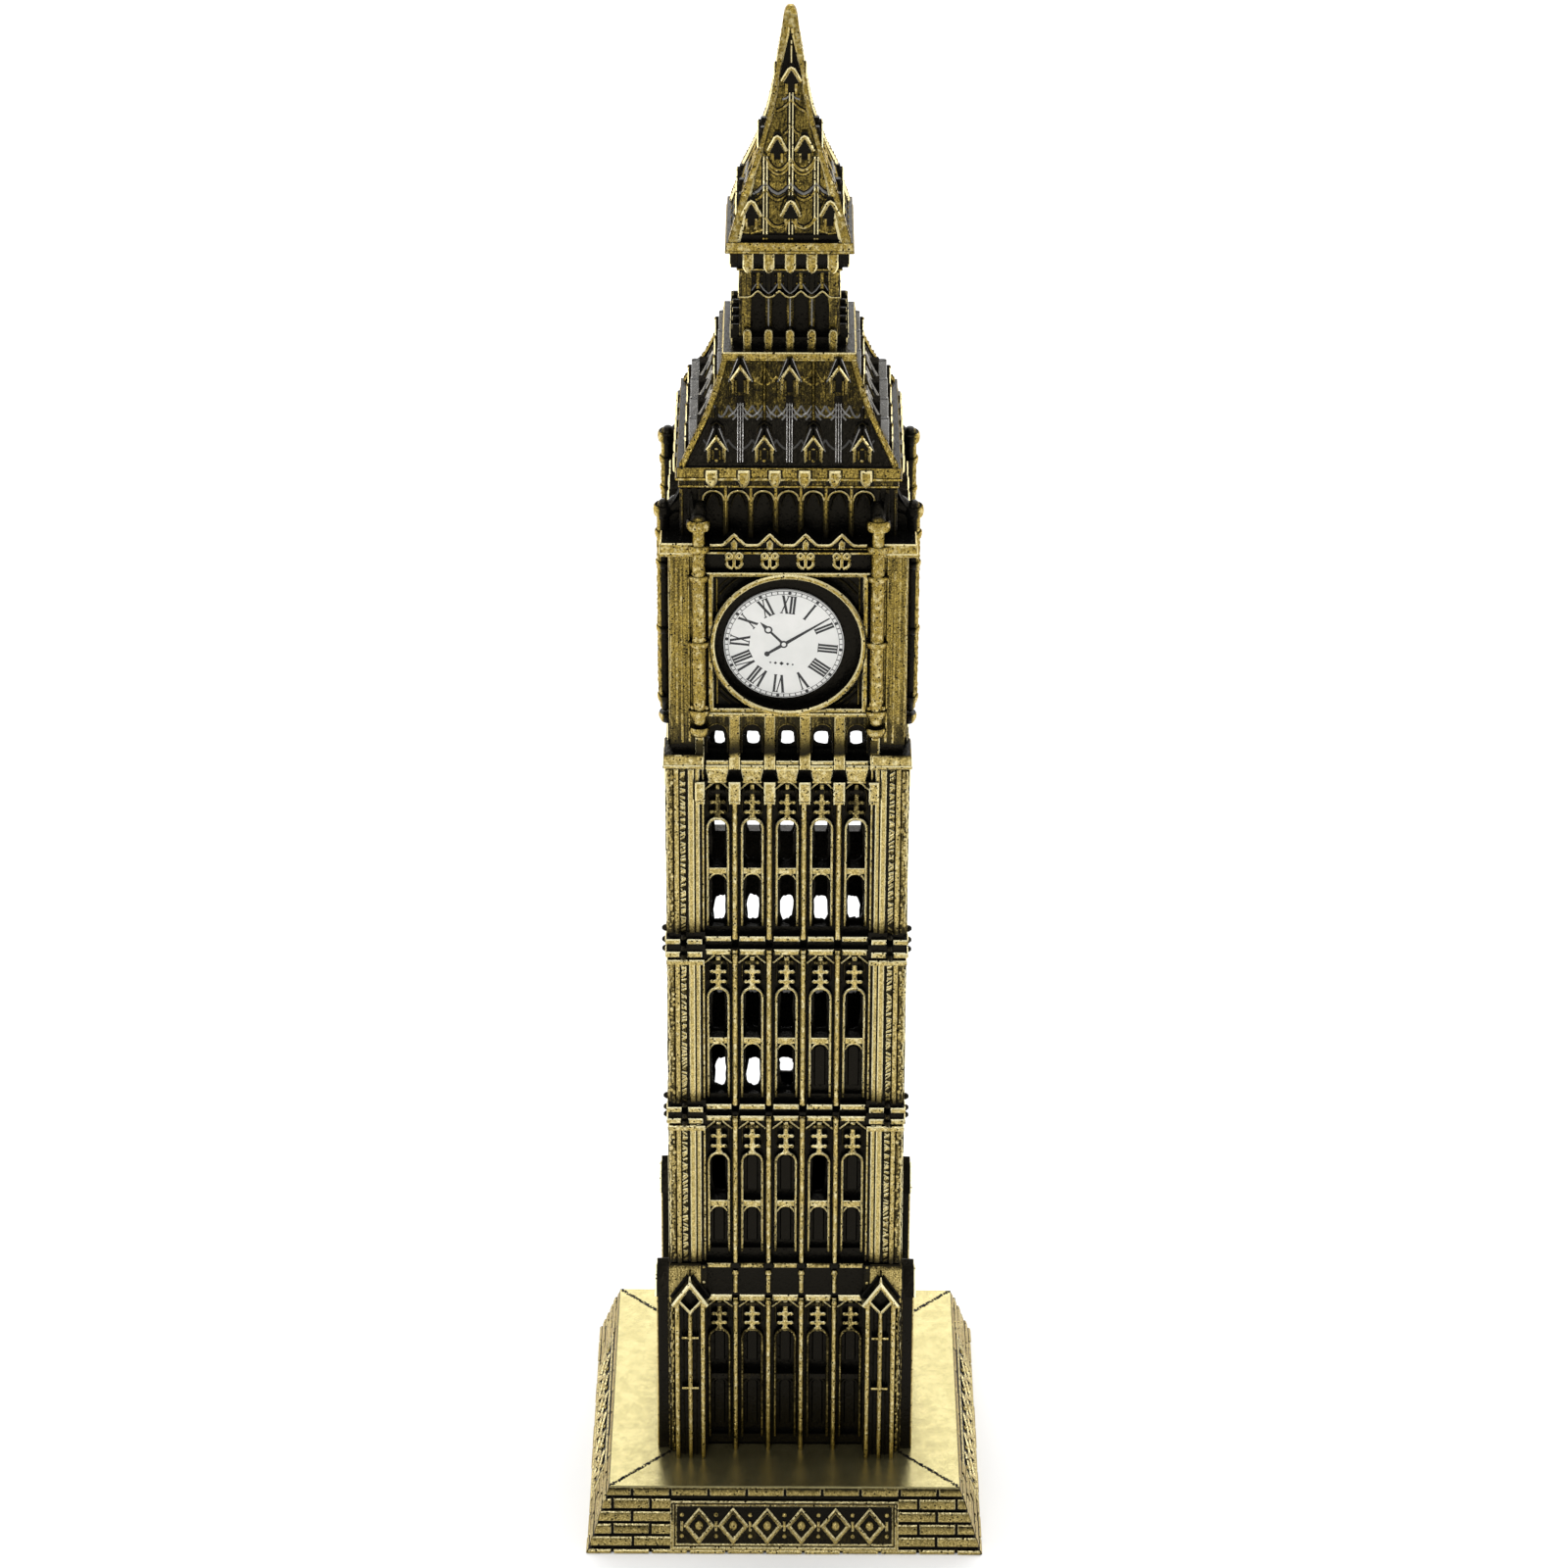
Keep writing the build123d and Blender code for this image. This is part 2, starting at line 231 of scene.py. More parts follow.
def rod(p0, p1, w, d0, d1, n=5, **kw):
    """A half-round moulding between two points of the wall's plane. d0 is its back and d1 its crown."""
    p0, p1 = np.asarray(p0, float), np.asarray(p1, float)
    e = (p1 - p0) / np.linalg.norm(p1 - p0)
    m = np.array([-e[1], e[0]])
    b = min(w / 2, (d1 - d0) * 0.8)
    sec = [(-w / 2, d0), (w / 2, d0)]
    for i in range(n + 1):
        a = math.pi * i / n
        sec.append((w / 2 * math.cos(a), d1 - b + b * math.sin(a)))
    ks = [0, 0] + [2] * n + [0]
    rows = []
    for q in (p0, p1):
        rows.append([(q[0] + m[0] * s, q[1] + m[1] * s, d) for s, d in sec])
    rings(rows, [ks], (0, 0), **kw)


def lathe(x, d, profile, n=12, sx=1.0, **kw):
    """A turned piece standing upright on the wall: profile is (radius, z) from the bottom up."""
    rows = []
    for r, z in profile:
        rows.append([(x + sx * r * math.cos(2 * math.pi * i / n), z, d + r * math.sin(2 * math.pi * i / n)) for i in range(n)])
    rings(rows, 2, (2, 2), **kw)


def knob(x, z, d, rx, rz, rd, n=10, m=5, **kw):
    """A bead: an ellipsoid."""
    rows = []
    for j in range(1, m):
        a = math.pi * j / m
        rows.append([(x + rx * math.sin(a) * math.cos(2 * math.pi * i / n), z - rz * math.cos(a), d + rd * math.sin(a) * math.sin(2 * math.pi * i / n)) for i in range(n)])
    v = np.concatenate([np.array([[x, z - rz, d]]), np.concatenate([np.array(r) for r in rows]), np.array([[x, z + rz, d]])])
    faces, ks = [], []
    last = len(v) - 1
    for i in range(n):
        j = (i + 1) % n
        faces.append((0, 1 + j, 1 + i))
        ks.append(2)
        for r in range(m - 2):
            a = 1 + r * n
            faces.append((a + i, a + j, a + n + j, a + n + i))
            ks.append(2)
        a = 1 + (m - 2) * n
        faces.append((a + i, a + j, last))
        ks.append(2)
    o = dict(_zone)
    o.update(kw)
    K.put(v, faces, ks, o["lo"], o.get("hi", float(v[:, 2].max())), o["tone"], o["gloss"], o["to"], o["fade"])


def profile_x(line, x0, x1, **kw):
    """An outline in (d, z) run along the wall from x0 to x1."""
    a = [(x0, z, d) for d, z in line]
    b = [(x1, z, d) for d, z in line]
    rings([a, b], 2, (0, 0), **kw)


def holed(outer, inner, d0, d1, **kw):
    """A thin web with a hole: two outlines of the same number of points."""
    o, i = np.asarray(outer, float), np.asarray(inner, float)
    n = len(o)
    v = np.concatenate([np.column_stack([q, np.full(n, d)]) for q, d in ((o, d0), (i, d0), (o, d1), (i, d1))])
    faces, ks = [], []
    for k in range(n):
        j = (k + 1) % n
        faces.append((k, j, 2 * n + j, 2 * n + k))
        ks.append(0)
        faces.append((n + j, n + k, 3 * n + k, 3 * n + j))
        ks.append(0)
        faces.append((2 * n + k, 2 * n + j, 3 * n + j, 3 * n + k))
        ks.append(2)
        faces.append((j, k, n + k, n + j))
        ks.append(0)
    o2 = dict(_zone)
    o2.update(kw)
    K.put(v, faces, ks, o2["lo"], o2.get("hi", d1), o2["tone"], o2["gloss"], o2["to"], o2["fade"])


def both(fn, *a, **kw):
    """Calls fn(side, ...) for the left (-1) and right (+1) of the wall."""
    for s in (-1, 1):
        fn(s, *a, **kw)


def sx(s, x0, x1):
    return (x0, x1) if s > 0 else (-x1, -x0)


# ------------------------------------------------------------------ curves of the outline
def curve(pts):
    zs = np.array([p[0] for p in pts])
    ds = np.array([p[1] for p in pts])
    return lambda z: float(np.interp(z, zs, ds))


spire_ridge = curve([(156.0, 6.5), (158.4, 5.75), (160.9, 5.08), (163.2, 4.1), (165.6, 3.2), (168.0, 2.5), (170.5, 1.98), (173.0, 1.58), (175.5, 1.2), (178.0, 0.83), (179.4, 0.55), (180.0, 0.3)])
roof_ridge = curve([(133.0, 11.6), (134.2, 10.95), (135.5, 10.2), (136.7, 9.5), (137.8, 8.95), (140.2, 8.0), (142.0, 7.4), (143.4, 7.02)])

COLS = (-5.72, -1.95, 1.82, 5.62)
BAYS = (-7.58, -3.81, 0.0, 3.76, 7.52)

# ------------------------------------------------------------------ 1. bare wall
zone(lo=11.7, tone=0.0, gloss=0.0, to="base")
outer = [(22.5, 0.0), (19.95, 7.45), (19.95, 7.55), (11.7, 7.55), (11.7, 104.2), (11.9, 104.2), (11.9, 123.4), (11.9, 124.2), (10.3, 124.2), (10.3, 130.6), (11.2, 131.0), (11.2, 132.9)]
outer += [(roof_ridge(z) - 0.45, z) for z in (133.2, 134.2, 135.5, 136.7, 137.8, 139.0, 140.2, 142.0)]
outer += [(6.5, 143.4), (6.5, 144.0), (4.6, 144.0), (4.6, 152.2), (5.3, 153.2), (5.7, 154.7), (6.2, 155.0), (6.2, 156.0)]
outer += [(spire_ridge(z) - min(0.46, 0.3 + 0.02 * max(0.0, 176 - z)), z) for z in (156.3, 158.4, 160.9, 163.2, 165.6, 168.0, 170.5, 173.0, 175.5, 178.0)] + [(0.25, 179.2), (0.0, 179.2)]
inner = [(0.0, 171.5), (0.5, 170.0), (1.5, 165.3), (3.2, 160.6), (4.5, 155.4), (4.1, 154.0), (3.2, 152.6), (3.2, 142.1), (5.3, 142.0), (6.1, 140.0), (7.0, 137.6), (8.3, 135.2), (8.9, 133.0), (8.9, 123.0), (10.2, 123.0), (10.2, 6.3), (19.0, 6.3), (21.0, 1.62), (21.0, 0.0)]
profile_x(outer + inner, -24.0, 24.0)

# ------------------------------------------------------------------ 2. brick skirt and base top
zone(lo=22.0, to="add")
COURSES = [(6.55, 7.6, 20.62, 20.3), (5.1, 6.27, 21.12, 20.86), (3.66, 4.82, 21.6, 21.34), (2.2, 3.38, 22.08, 21.82), (0.84, 1.94, 22.52, 22.3), (0.0, 0.5, 22.9, 22.8)]
JOINTS = [
    (-17.61, -13.19, -8.77, -4.36, 0.06, 4.36, 8.78, 13.31, 17.72),
    (-19.88, -15.46, 15.47, 19.89),
    (-17.6, 17.6),
    (-19.9, -15.5, 15.5, 19.9),
    (-17.51, 17.56),
    (-19.9, -15.5, -11.1, -6.7, -2.25, 2.2, 6.6, 11.05, 15.45, 19.9),
]
rng = random.Random(3)
for (z0, z1, db, dt), cuts in zip(COURSES, JOINTS):
    edges = [-24.0] + list(cuts) + [24.0]
    full = len(cuts) > 6
    for a, b in zip(edges[:-1], edges[1:]):
        if not full and b > 0 > a:  # the name plate's width
            for lo_, hi_ in ((a + 0.16, -13.2), (13.2, b - 0.16)):
                x0, x1 = lo_, hi_
                j = rng.uniform(-0.05, 0.05)
                line = [(db - 1.6, z0), (db + j - 0.12, z0), (db + j, z0 + 0.12), (dt + j, z1 - 0.14), (dt + j - 0.14, z1), (db - 1.6, z1)]
                rings([[(x0, z, d) for d, z in line], [(x1, z, d) for d, z in line]], [[0, 1, 2, 1, 0, 0]], (0, 0), lo=db - 0.62, hi=db, tone=0.86)
            continue
        x0 = a + (0.16 if a > -24 else 0)
        x1 = b - (0.16 if b < 24 else 0)
        j = rng.uniform(-0.05, 0.05)
        line = [(db - 1.6, z0), (db + j - 0.12, z0), (db + j, z0 + 0.12), (dt + j, z1 - 0.14), (dt + j - 0.14, z1), (db - 1.6, z1)]
        c = 0.1
        rows = []
        for x, k in ((x0, -c), (x0 + c, 0), (x1 - c, 0), (x1, -c)):
            rows.append([(x, z, d + (k if d > db - 1.0 else 0)) for d, z in line])
        rings(rows, [[0, 1, 1, 1, 0, 0], [0, 1, 2, 1, 0, 0], [0, 1, 1, 1, 0, 0]], (0, 0), lo=db - 0.62, hi=db, tone=0.86)
# base top: one smooth rubbed plate
profile_x([(11.9, 7.3), (20.2, 7.3), (20.28, 7.6), (20.28, 7.64), (20.2, 7.71), (11.9, 7.71)], -24, 24, lo=5.0, hi=6.0, tone=0.95, gloss=1.0, fade=0.0)

# name plate: frame and sunk field, sloped with the skirt, with a generic lozenge ornament
SH = (0.337, 3.3)
box(-13.2, 13.2, 0.42, 6.06, 20.7, 21.66, c=0.08, shear=SH, lo=21.5, hi=21.95, tone=0.3)
band([(-12.98, 0.62), (12.98, 0.62), (12.98, 5.84), (-12.98, 5.84)], 0.42, 21.2, 21.9, c=0.13, closed=True, lo=21.5, hi=21.9, tone=0.95)
for q in K.groups["add"][-1:]:
    q[0][:, 2] -= SH[0] * (q[0][:, 1] - SH[1])
band([(-12.55, 1.02), (12.55, 1.02), (12.55, 5.44), (-12.55, 5.44)], 0.26, 21.2, 21.78, c=0.1, closed=True, lo=21.5, hi=21.8, tone=0.9)
for q in K.groups["add"][-1:]:
    q[0][:, 2] -= SH[0] * (q[0][:, 1] - SH[1])



def plaque_piece(fn, *a, **kw):
    before = len(K.groups["add"])
    fn(*a, **kw)
    for q in K.groups["add"][before:]:
        q[0][:, 2] -= SH[0] * (q[0][:, 1] - SH[1])


zone(lo=19.9, hi=20.9, tone=0.92)
for i in range(6):
    x = (i - 2.5) * 3.95
    plaque_piece(band, [(x - 1.5, 3.24), (x, 1.5), (x + 1.5, 3.24), (x, 4.98)], 0.5, 21.3, 21.98, c=0.16, closed=True, hi=22.4, lo=20.4)
    plaque_piece(knob, x, 3.24, 21.62, 0.55, 0.58, 0.42, n=14, m=7)
for i in range(7):
    x = (i - 3) * 3.95
    if abs(x) < 12:
        plaque_piece(knob, x, 4.45, 21.6, 0.3, 0.3, 0.34)
        plaque_piece(knob, x, 2.05, 21.6, 0.3, 0.3, 0.34)
        plaque_piece(band, [(x, 2.7), (x, 3.8)], 0.3, 21.3, 21.9, c=0.1)

# ------------------------------------------------------------------ 3. shaft
_zone.pop("hi", None)
zone(lo=11.75, tone=1.0, gloss=0.0)


def colonnette(x, z0, z1, tone=1.0, w=0.6, d=12.95):
    rod((x, z0), (x, z1), w, 11.5, d, n=6, tone=tone, lo=12.3, fade=0.0)
    r = random.Random(int(x * 10 + z0))
    z = z0 + 0.3
    while z < z1 - 0.3:
        knob(x + r.uniform(-0.1, 0.1), z, d - 0.06, r.uniform(0.07, 0.13), r.uniform(0.12, 0.34), r.uniform(0.07, 0.12), n=6, m=4, lo=12.6, tone=1.0, fade=0.0)
        z += r.uniform(0.35, 1.1)


def tier(top, spurs, head, sill, foot, stem=0.8, frame_tone=0.85, deep=True, side=0.3, sill_tone=0.85):
    for b, x in enumerate(BAYS):
        t = stem * (0.75 if b in (0, 4) else 1.0)
        # spandrels that point the head of the bay
        for s in (-1, 1):
            plate([(x + s * 1.5, top + 0.05), (x + s * 0.45, top + 0.05), (x + s * 1.5, top - 0.95)], 11.5, 12.4, c=0.06, lo=11.9, tone=0.22)
            band([(x + s * 0.4, top - 0.05), (x + s * 1.5, top - 1.0)], 0.2, 11.6, 12.64, c=0.07, t=0.0, lo=12.0, tone=1.0)
            band([(x + s * 0.95, spurs[0] + 0.15), (x + s * 1.12, spurs[0] - 0.5), (x + s * 1.12, spurs[-1] + 0.1), (x + s * 0.9, spurs[-1] - 0.45)], 0.16, 11.6, 12.12, c=0.05, t=0.02, lo=11.7, tone=side)
        # stem and spurs of the tracery
        plate([(x - 0.27, head - 0.25), (x + 0.27, head - 0.25), (x + 0.27, top - 0.35), (x - 0.27, top - 0.35)], 11.5, 12.4, c=0.1, lo=11.85, tone=t)
        for k, z in enumerate(spurs):
            w = 0.72 if k else 0.62
            tt = t * (0.45 if k == 0 else 1.0)
            plate([(x - w - 0.2, z - 0.1), (x - w, z - 0.24), (x - 0.42, z - 0.17), (x - 0.2, z - 0.36), (x + 0.2, z - 0.36), (x + 0.42, z - 0.17), (x + w, z - 0.24), (x + w + 0.2, z - 0.1), (x + w + 0.2, z + 0.1), (x + w, z + 0.24), (x + 0.42, z + 0.17), (x + 0.2, z + 0.36), (x - 0.2, z + 0.36), (x - 0.42, z + 0.17), (x - w, z + 0.24), (x - w - 0.2, z + 0.1)], 11.5, 12.42, c=0.07, t=0.02, lo=11.85, tone=tt)
        # foot of the stem flaring on to the arch
        plate([(x - 0.62, head - 0.18), (x + 0.62, head - 0.18), (x + 0.25, head + 0.42), (x - 0.25, head + 0.42)], 11.5, 12.38, c=0.08, lo=11.85, tone=t)
        # frame of the two lights
        r = 1.16
        pts = [(x - r, foot)]
        for i in range(11):
            a = math.pi - math.pi * i / 10
            pts.append((x + r * math.cos(a), head - r + r * math.sin(a)))
        pts.append((x + r, foot))
        band(pts, 0.32, 11.5, 12.45, c=0.1, t=0.04, lo=11.9, tone=frame_tone)
        box(x - 1.02, x + 1.02, sill[0], sill[1], 11.4, 12.3, c=0.08, lo=11.9, tone=sill_tone)
        # hood of the lower light
        r2 = 0.98
        pts = []
        for i in range(9):
            a = math.radians(165) - math.radians(150) * i / 8
            pts.append((x + r2 * math.cos(a), sill[0] + 0.02 - r2 + r2 * math.sin(a)))
        band(pts, 0.2, 11.4, 12.28, c=0.06, t=0.0, lo=11.9, tone=sill_tone)
        plate([(x - 1.05, sill[0] - 0.75), (x - 0.98, sill[0] - 0.72), (x - 0.55, sill[0] - 0.16), (x - 0.2, sill[0] + 0.05), (x - 1.05, sill[0] + 0.05)], 11.3, 12.05, c=0.03, t=0.0, lo=11.9, tone=0.2)
        plate([(x + 1.05, sill[0] - 0.75), (x + 0.98, sill[0] - 0.72), (x + 0.55, sill[0] - 0.16), (x + 0.2, sill[0] + 0.05), (x + 1.05, sill[0] + 0.05)], 11.3, 12.05, c=0.03, t=0.0, lo=11.9, tone=0.2)


TIERS = {
    "A": dict(top=95.95, spurs=(94.67, 93.34, 92.12), head=91.3, sill=(84.35, 85.1), foot=77.9, stem=0.62, frame_tone=0.85),
    "B": dict(top=74.25, spurs=(73.15, 71.96, 70.7), head=69.85, sill=(62.6, 63.4), foot=55.7, stem=0.95, frame_tone=0.85),
    "C": dict(top=52.65, spurs=(51.75, 50.5, 49.15), head=48.2, sill=(41.0, 41.8), foot=35.0, stem=0.9, frame_tone=0.7),
    "D": dict(top=28.5, spurs=(27.69, 26.34, 25.11), head=24.2, sill=(17.2, 17.95), foot=9.2, stem=0.75, frame_tone=0.45, sill_tone=0.22),
}
for name, spec in TIERS.items():
    tier(**spec)

for x in COLS:
    colonnette(x, 76.4, 94.2)
    colonnette(x, 54.9, 75.0)
    colonnette(x, 33.6, 53.4)
    rod((x, 15.0), (x, 28.9), 0.6, 11.5, 12.95, n=6, lo=12.2, tone=1.0)
    rod((x, 10.5), (x, 15.0), 0.6, 11.5, 12.95, n=6, lo=12.2, tone=0.72)
    rod((x, 7.7), (x, 10.5), 0.6, 11.5, 12.95, n=6, lo=12.2, tone=0.55, fade=0.0)
    for zz in (75.6, 54.35):
        knob(x, zz, 12.95, 0.34, 0.36, 0.34, lo=12.4)
        box(x - 0.36, x + 0.36, zz + 0.6, zz + 1.25, 11.5, 12.7, lo=12.0, tone=0.12)
        box(x - 0.36, x + 0.36, zz - 1.05, zz - 0.45, 11.5, 12.75, lo=12.0, tone=0.15)
    for zz in (74.25, 52.95, 28.3):
        knob(x, zz, 12.9, 0.36, 0.42, 0.36, lo=12.4)
    # knob and neck across the sloped ledge
    knob(x, 32.45, 12.9, 0.42, 0.42, 0.42, lo=12.3)
    rod((x, 29.7), (x, 32.3), 0.5, 11.5, 13.0, lo=12.2)
    box(x - 0.5, x + 0.5, 33.0, 33.75, 11.5, 13.05, lo=12.2, tone=0.1)

# string courses: broken bars in the bays and bars round the buttresses
for (a0, a1), (b0, b1) in (((76.0, 76.62), (74.28, 74.98)), ((54.2, 54.86), (52.68, 53.32))):
    for x in BAYS:
        box(x - 1.42, x + 1.42, a0, a1, 11.4, 12.75, c=0.14, lo=12.1)
        box(x - 1.42, x + 1.42, b0, b1, 11.4, 12.75, c=0.14, lo=12.1)
        slab_box(x - 1.5, x + 1.5, b1 - 0.05, a0 + 0.05, 11.4, 12.0, tone=0.0)
    for s in (-1, 1):
        for z0, z1 in ((a0 + 0.0, a1 + 0.02), (b0 + 0.06, b1 + 0.06)):
            box(*sx(s, 9.35, 11.0), z0, z1, 11.4, 13.42, c=0.12, lo=12.9)
            box(*sx(s, 11.75, 15.0), z0, z1, 11.4, 13.42, c=0.12, lo=12.9)
        slab_box(*sx(s, 9.0, 15.0), b1 - 0.4, a0 - 0.15, 11.4, 13.1, tone=0.0)
        slab_box(*sx(s, 9.0, 15.0), a1 - 0.1, a1 + 0.75, 11.4, 12.95, tone=0.0)
        box(*sx(s, 9.1, 15.0), b0 - 1.0, b0 - 0.35, 11.4, 13.3, c=0.12, lo=12.6, tone=0.8)
        slab_box(*sx(s, 9.0, 15.0), b0 - 0.4, b0 + 0.2, 11.4, 12.95, tone=0.0)
        for zz in (a1 + 0.42, a0 - 0.4, b0 + 0.15):
            knob(s * 11.4, zz, 13.35, 0.36, 0.4, 0.5, lo=13.1, tone=0.3, gloss=0.5)

# sloped ledge over the lowest tier
for x in BAYS:
    box(x - 1.38, x + 1.38, 32.9, 33.5, 11.4, 12.75, c=0.12, lo=12.1, tone=0.8)
    box(x - 1.45, x + 1.45, 28.48, 29.3, 11.4, 12.95, c=0.14, lo=12.2, tone=0.95)
profile_x([(11.4, 29.2), (12.75, 29.2), (12.6, 29.9), (12.35, 31.0), (12.2, 33.0), (11.4, 33.0)], -9.3, 9.3, tone=0.05, lo=12.0, hi=13.4)


# corner buttresses, tiers A to C
def buttress(s, z0, z1, seed):
    r = random.Random(seed)
    slab_box(*sx(s, 9.95, 15.0), z0, z1, 11.0, 12.8, tone=0.1, lo=12.2, hi=13.3)
    box(*sx(s, 12.42, 15.0), z0, z1, 12.0, 13.2, c=0.1, lo=12.7, tone=0.46)
    x0, x1 = sx(s, 11.78, 12.36)
    rod(((x0 + x1) / 2, z0), ((x0 + x1) / 2, z1), 0.58, 12.0, 13.28, n=5, lo=12.8, tone=0.76)
    box(*sx(s, 10.16, 10.78), z0, z1, 12.0, 13.22, c=0.12, lo=12.7, tone=1.0, gloss=0.35)
    box(*sx(s, 9.56, 10.08), z0, z1, 11.6, 13.06, c=0.12, lo=12.5, tone=0.95, gloss=0.35)
    xa, xb = sx(s, 9.06, 9.3)
    rod(((xa + xb) / 2, z0), ((xa + xb) / 2, z1), 0.24, 11.4, 12.75, n=4, lo=12.2, tone=0.9)
    slab_box(*sx(s, 9.24, 9.84), z0, z1, 11.3, 12.5, tone=0.12, lo=12.0)
    # rope moulding
    x0, x1 = sx(s, 11.08, 11.7)
    box(x0, x1, z0, z1, 12.0, 13.0, c=0.08, lo=12.5, tone=0.42)
    z = z0 + 0.2
    while z < z1 - 0.5:
        h = r.uniform(0.24, 0.4)
        k = r.uniform(0.1, 0.5) * (1 if r.random() < 0.6 else -1)
        xa, xb = x0 + r.uniform(0.0, 0.06), x1 - r.uniform(0.0, 0.06)
        plate([(xa, z), (xb, z + k), (xb, z + k + h), (xa, z + h)], 12.6, 13.17 + r.uniform(-0.06, 0.05), c=0.07, t=0.02, lo=12.8, tone=0.82)
        z += h + r.uniform(0.08, 0.18)
    # worn pits and lumps on the outer strip
    z = z0 + 0.3
    while z < z1 - 0.4:
        knob(s * r.uniform(12.55, 12.95), z, 13.17, r.uniform(0.1, 0.24), r.uniform(0.12, 0.4), r.uniform(0.05, 0.13), n=8, m=4, lo=12.9, tone=0.95)
        z += r.uniform(0.28, 0.75)


for s in (-1, 1):
    buttress(s, 77.3, 97.8, 11 + s)
    buttress(s, 55.4, 73.9, 21 + s)
    buttress(s, 33.9, 52.4, 31 + s)


# corner niches in front of the lowest tier
def niche(s, seed):
    r = random.Random(seed)
    c = s * 10.91
    slab_box(*sx(s, 9.0, 15.0), 7.6, 33.6, 11.0, 13.18, tone=0.2, lo=12.4, hi=13.3)
    # rough outer strips, seen from the side
    rod((s * 12.95, 7.7), (s * 12.95, 29.5), 0.4, 12.6, 13.42, n=4, lo=13.0, tone=0.5)
    z = 8.0
    while z < 29:
        knob(s * r.uniform(12.8, 13.05), z, 13.38, r.uniform(0.08, 0.18), r.uniform(0.15, 0.4), r.uniform(0.05, 0.12), n=8, m=4, lo=13.1, tone=0.7)
        z += r.uniform(0.3, 0.8)
    # body of the niche
    plate([(c - 1.72, 7.6), (c + 1.72, 7.6), (c + 1.72, 29.3), (c, 32.0), (c - 1.72, 29.3)], 12.8, 13.85, c=0.03, t=0.0, tone=0.0, lo=13.6)
    for k in (-1.46, 1.46):
        rod((c + k, 7.65), (c + k, 29.5), 0.54, 13.2, 14.8, n=6, lo=14.1, tone=1.0, fade=1.0)
    rod((c, 7.65), (c, 28.2), 0.54, 13.2, 14.72, n=6, lo=14.1, tone=1.0, fade=1.0)
    for z in (24.45, 17.47):
        rod((c - 0.95, z), (c + 0.95, z), 0.36, 13.4, 14.66, n=5, lo=14.0, tone=1.0)
    for k in (-0.72, 0.72):
        rod((c + k, 7.7), (c + k, 28.6), 0.14, 13.4, 14.05, n=4, lo=13.7, tone=0.25)
    # gable and the lozenge under it
    band([(c - 1.9, 29.0), (c, 31.85), (c + 1.9, 29.0)], 0.58, 13.2, 14.98, c=0.2, lo=14.5, tone=1.0, fade=0.0)
    band([(c - 1.35, 29.6), (c, 27.95), (c + 1.35, 29.6)], 0.34, 13.4, 14.75, c=0.12, lo=14.1, tone=1.0)
    plate([(c - 0.17, 31.9), (c + 0.17, 31.9), (c + 0.06, 33.0), (c - 0.06, 33.0)], 13.2, 14.75, c=0.04, lo=14.0, tone=0.9)
    # plain weathering above the niche
    xa, xb = sx(s, 9.7, 15.0)
    profile_x([(11.2, 28.6), (13.3, 28.6), (13.36, 31.0), (13.32, 33.2), (13.1, 33.7), (11.2, 33.8)], xa, xb, lo=12.4, hi=13.3, tone=0.62, gloss=0.25)
    # dark plates along the top of the gable: painted shade in the crease above it
    for k in (-1, 1):
        plate([(c + k * 0.35, 32.5), (c + k * 2.35, 29.4), (c + k * 2.0, 28.8), (c, 31.9)], 13.0, 13.5, c=0.12, t=0.05, lo=13.3, hi=14.0, tone=0.12)
    for zz in (33.3, 31.2, 30.2):
        knob(s * 9.35, zz, 12.95, 0.32, 0.32, 0.3, lo=12.4, tone=0.9)
    rod((s * 9.35, 29.4), (s * 9.35, 33.3), 0.42, 11.5, 12.95, n=5, lo=12.2, tone=0.7)


for s in (-1, 1):
    niche(s, 50 + s)

# ------------------------------------------------------------------ 4. arcade below the clock
PIERS = (-9.5, -5.73, -1.92, 1.89, 5.62, 9.38)
zone(lo=11.8, tone=1.0)
for x in PIERS:
    w = 0.62 if abs(x) < 9 else 0.52
    # bracket with a stepped foot
    box(x - w, x + w, 93.95, 96.3, 11.3, 13.45, c=0.16, lo=12.3)
    box(x - w * 0.94, x + w * 0.94, 93.42, 93.88, 11.3, 13.15, c=0.12, lo=12.3, tone=0.9)
    slab_box(x - w - 0.05, x + w + 0.05, 96.2, 97.7, 11.3, 12.0, tone=0.0)
    # pier of the arcade
    hi = 104.3 if abs(x) < 9 else 101.4
    box(x - (0.58 if abs(x) < 9 else 0.42), x + (0.58 if abs(x) < 9 else 0.42), 97.7, hi, 11.3, 13.15, c=0.12, lo=12.3, tone=0.97)
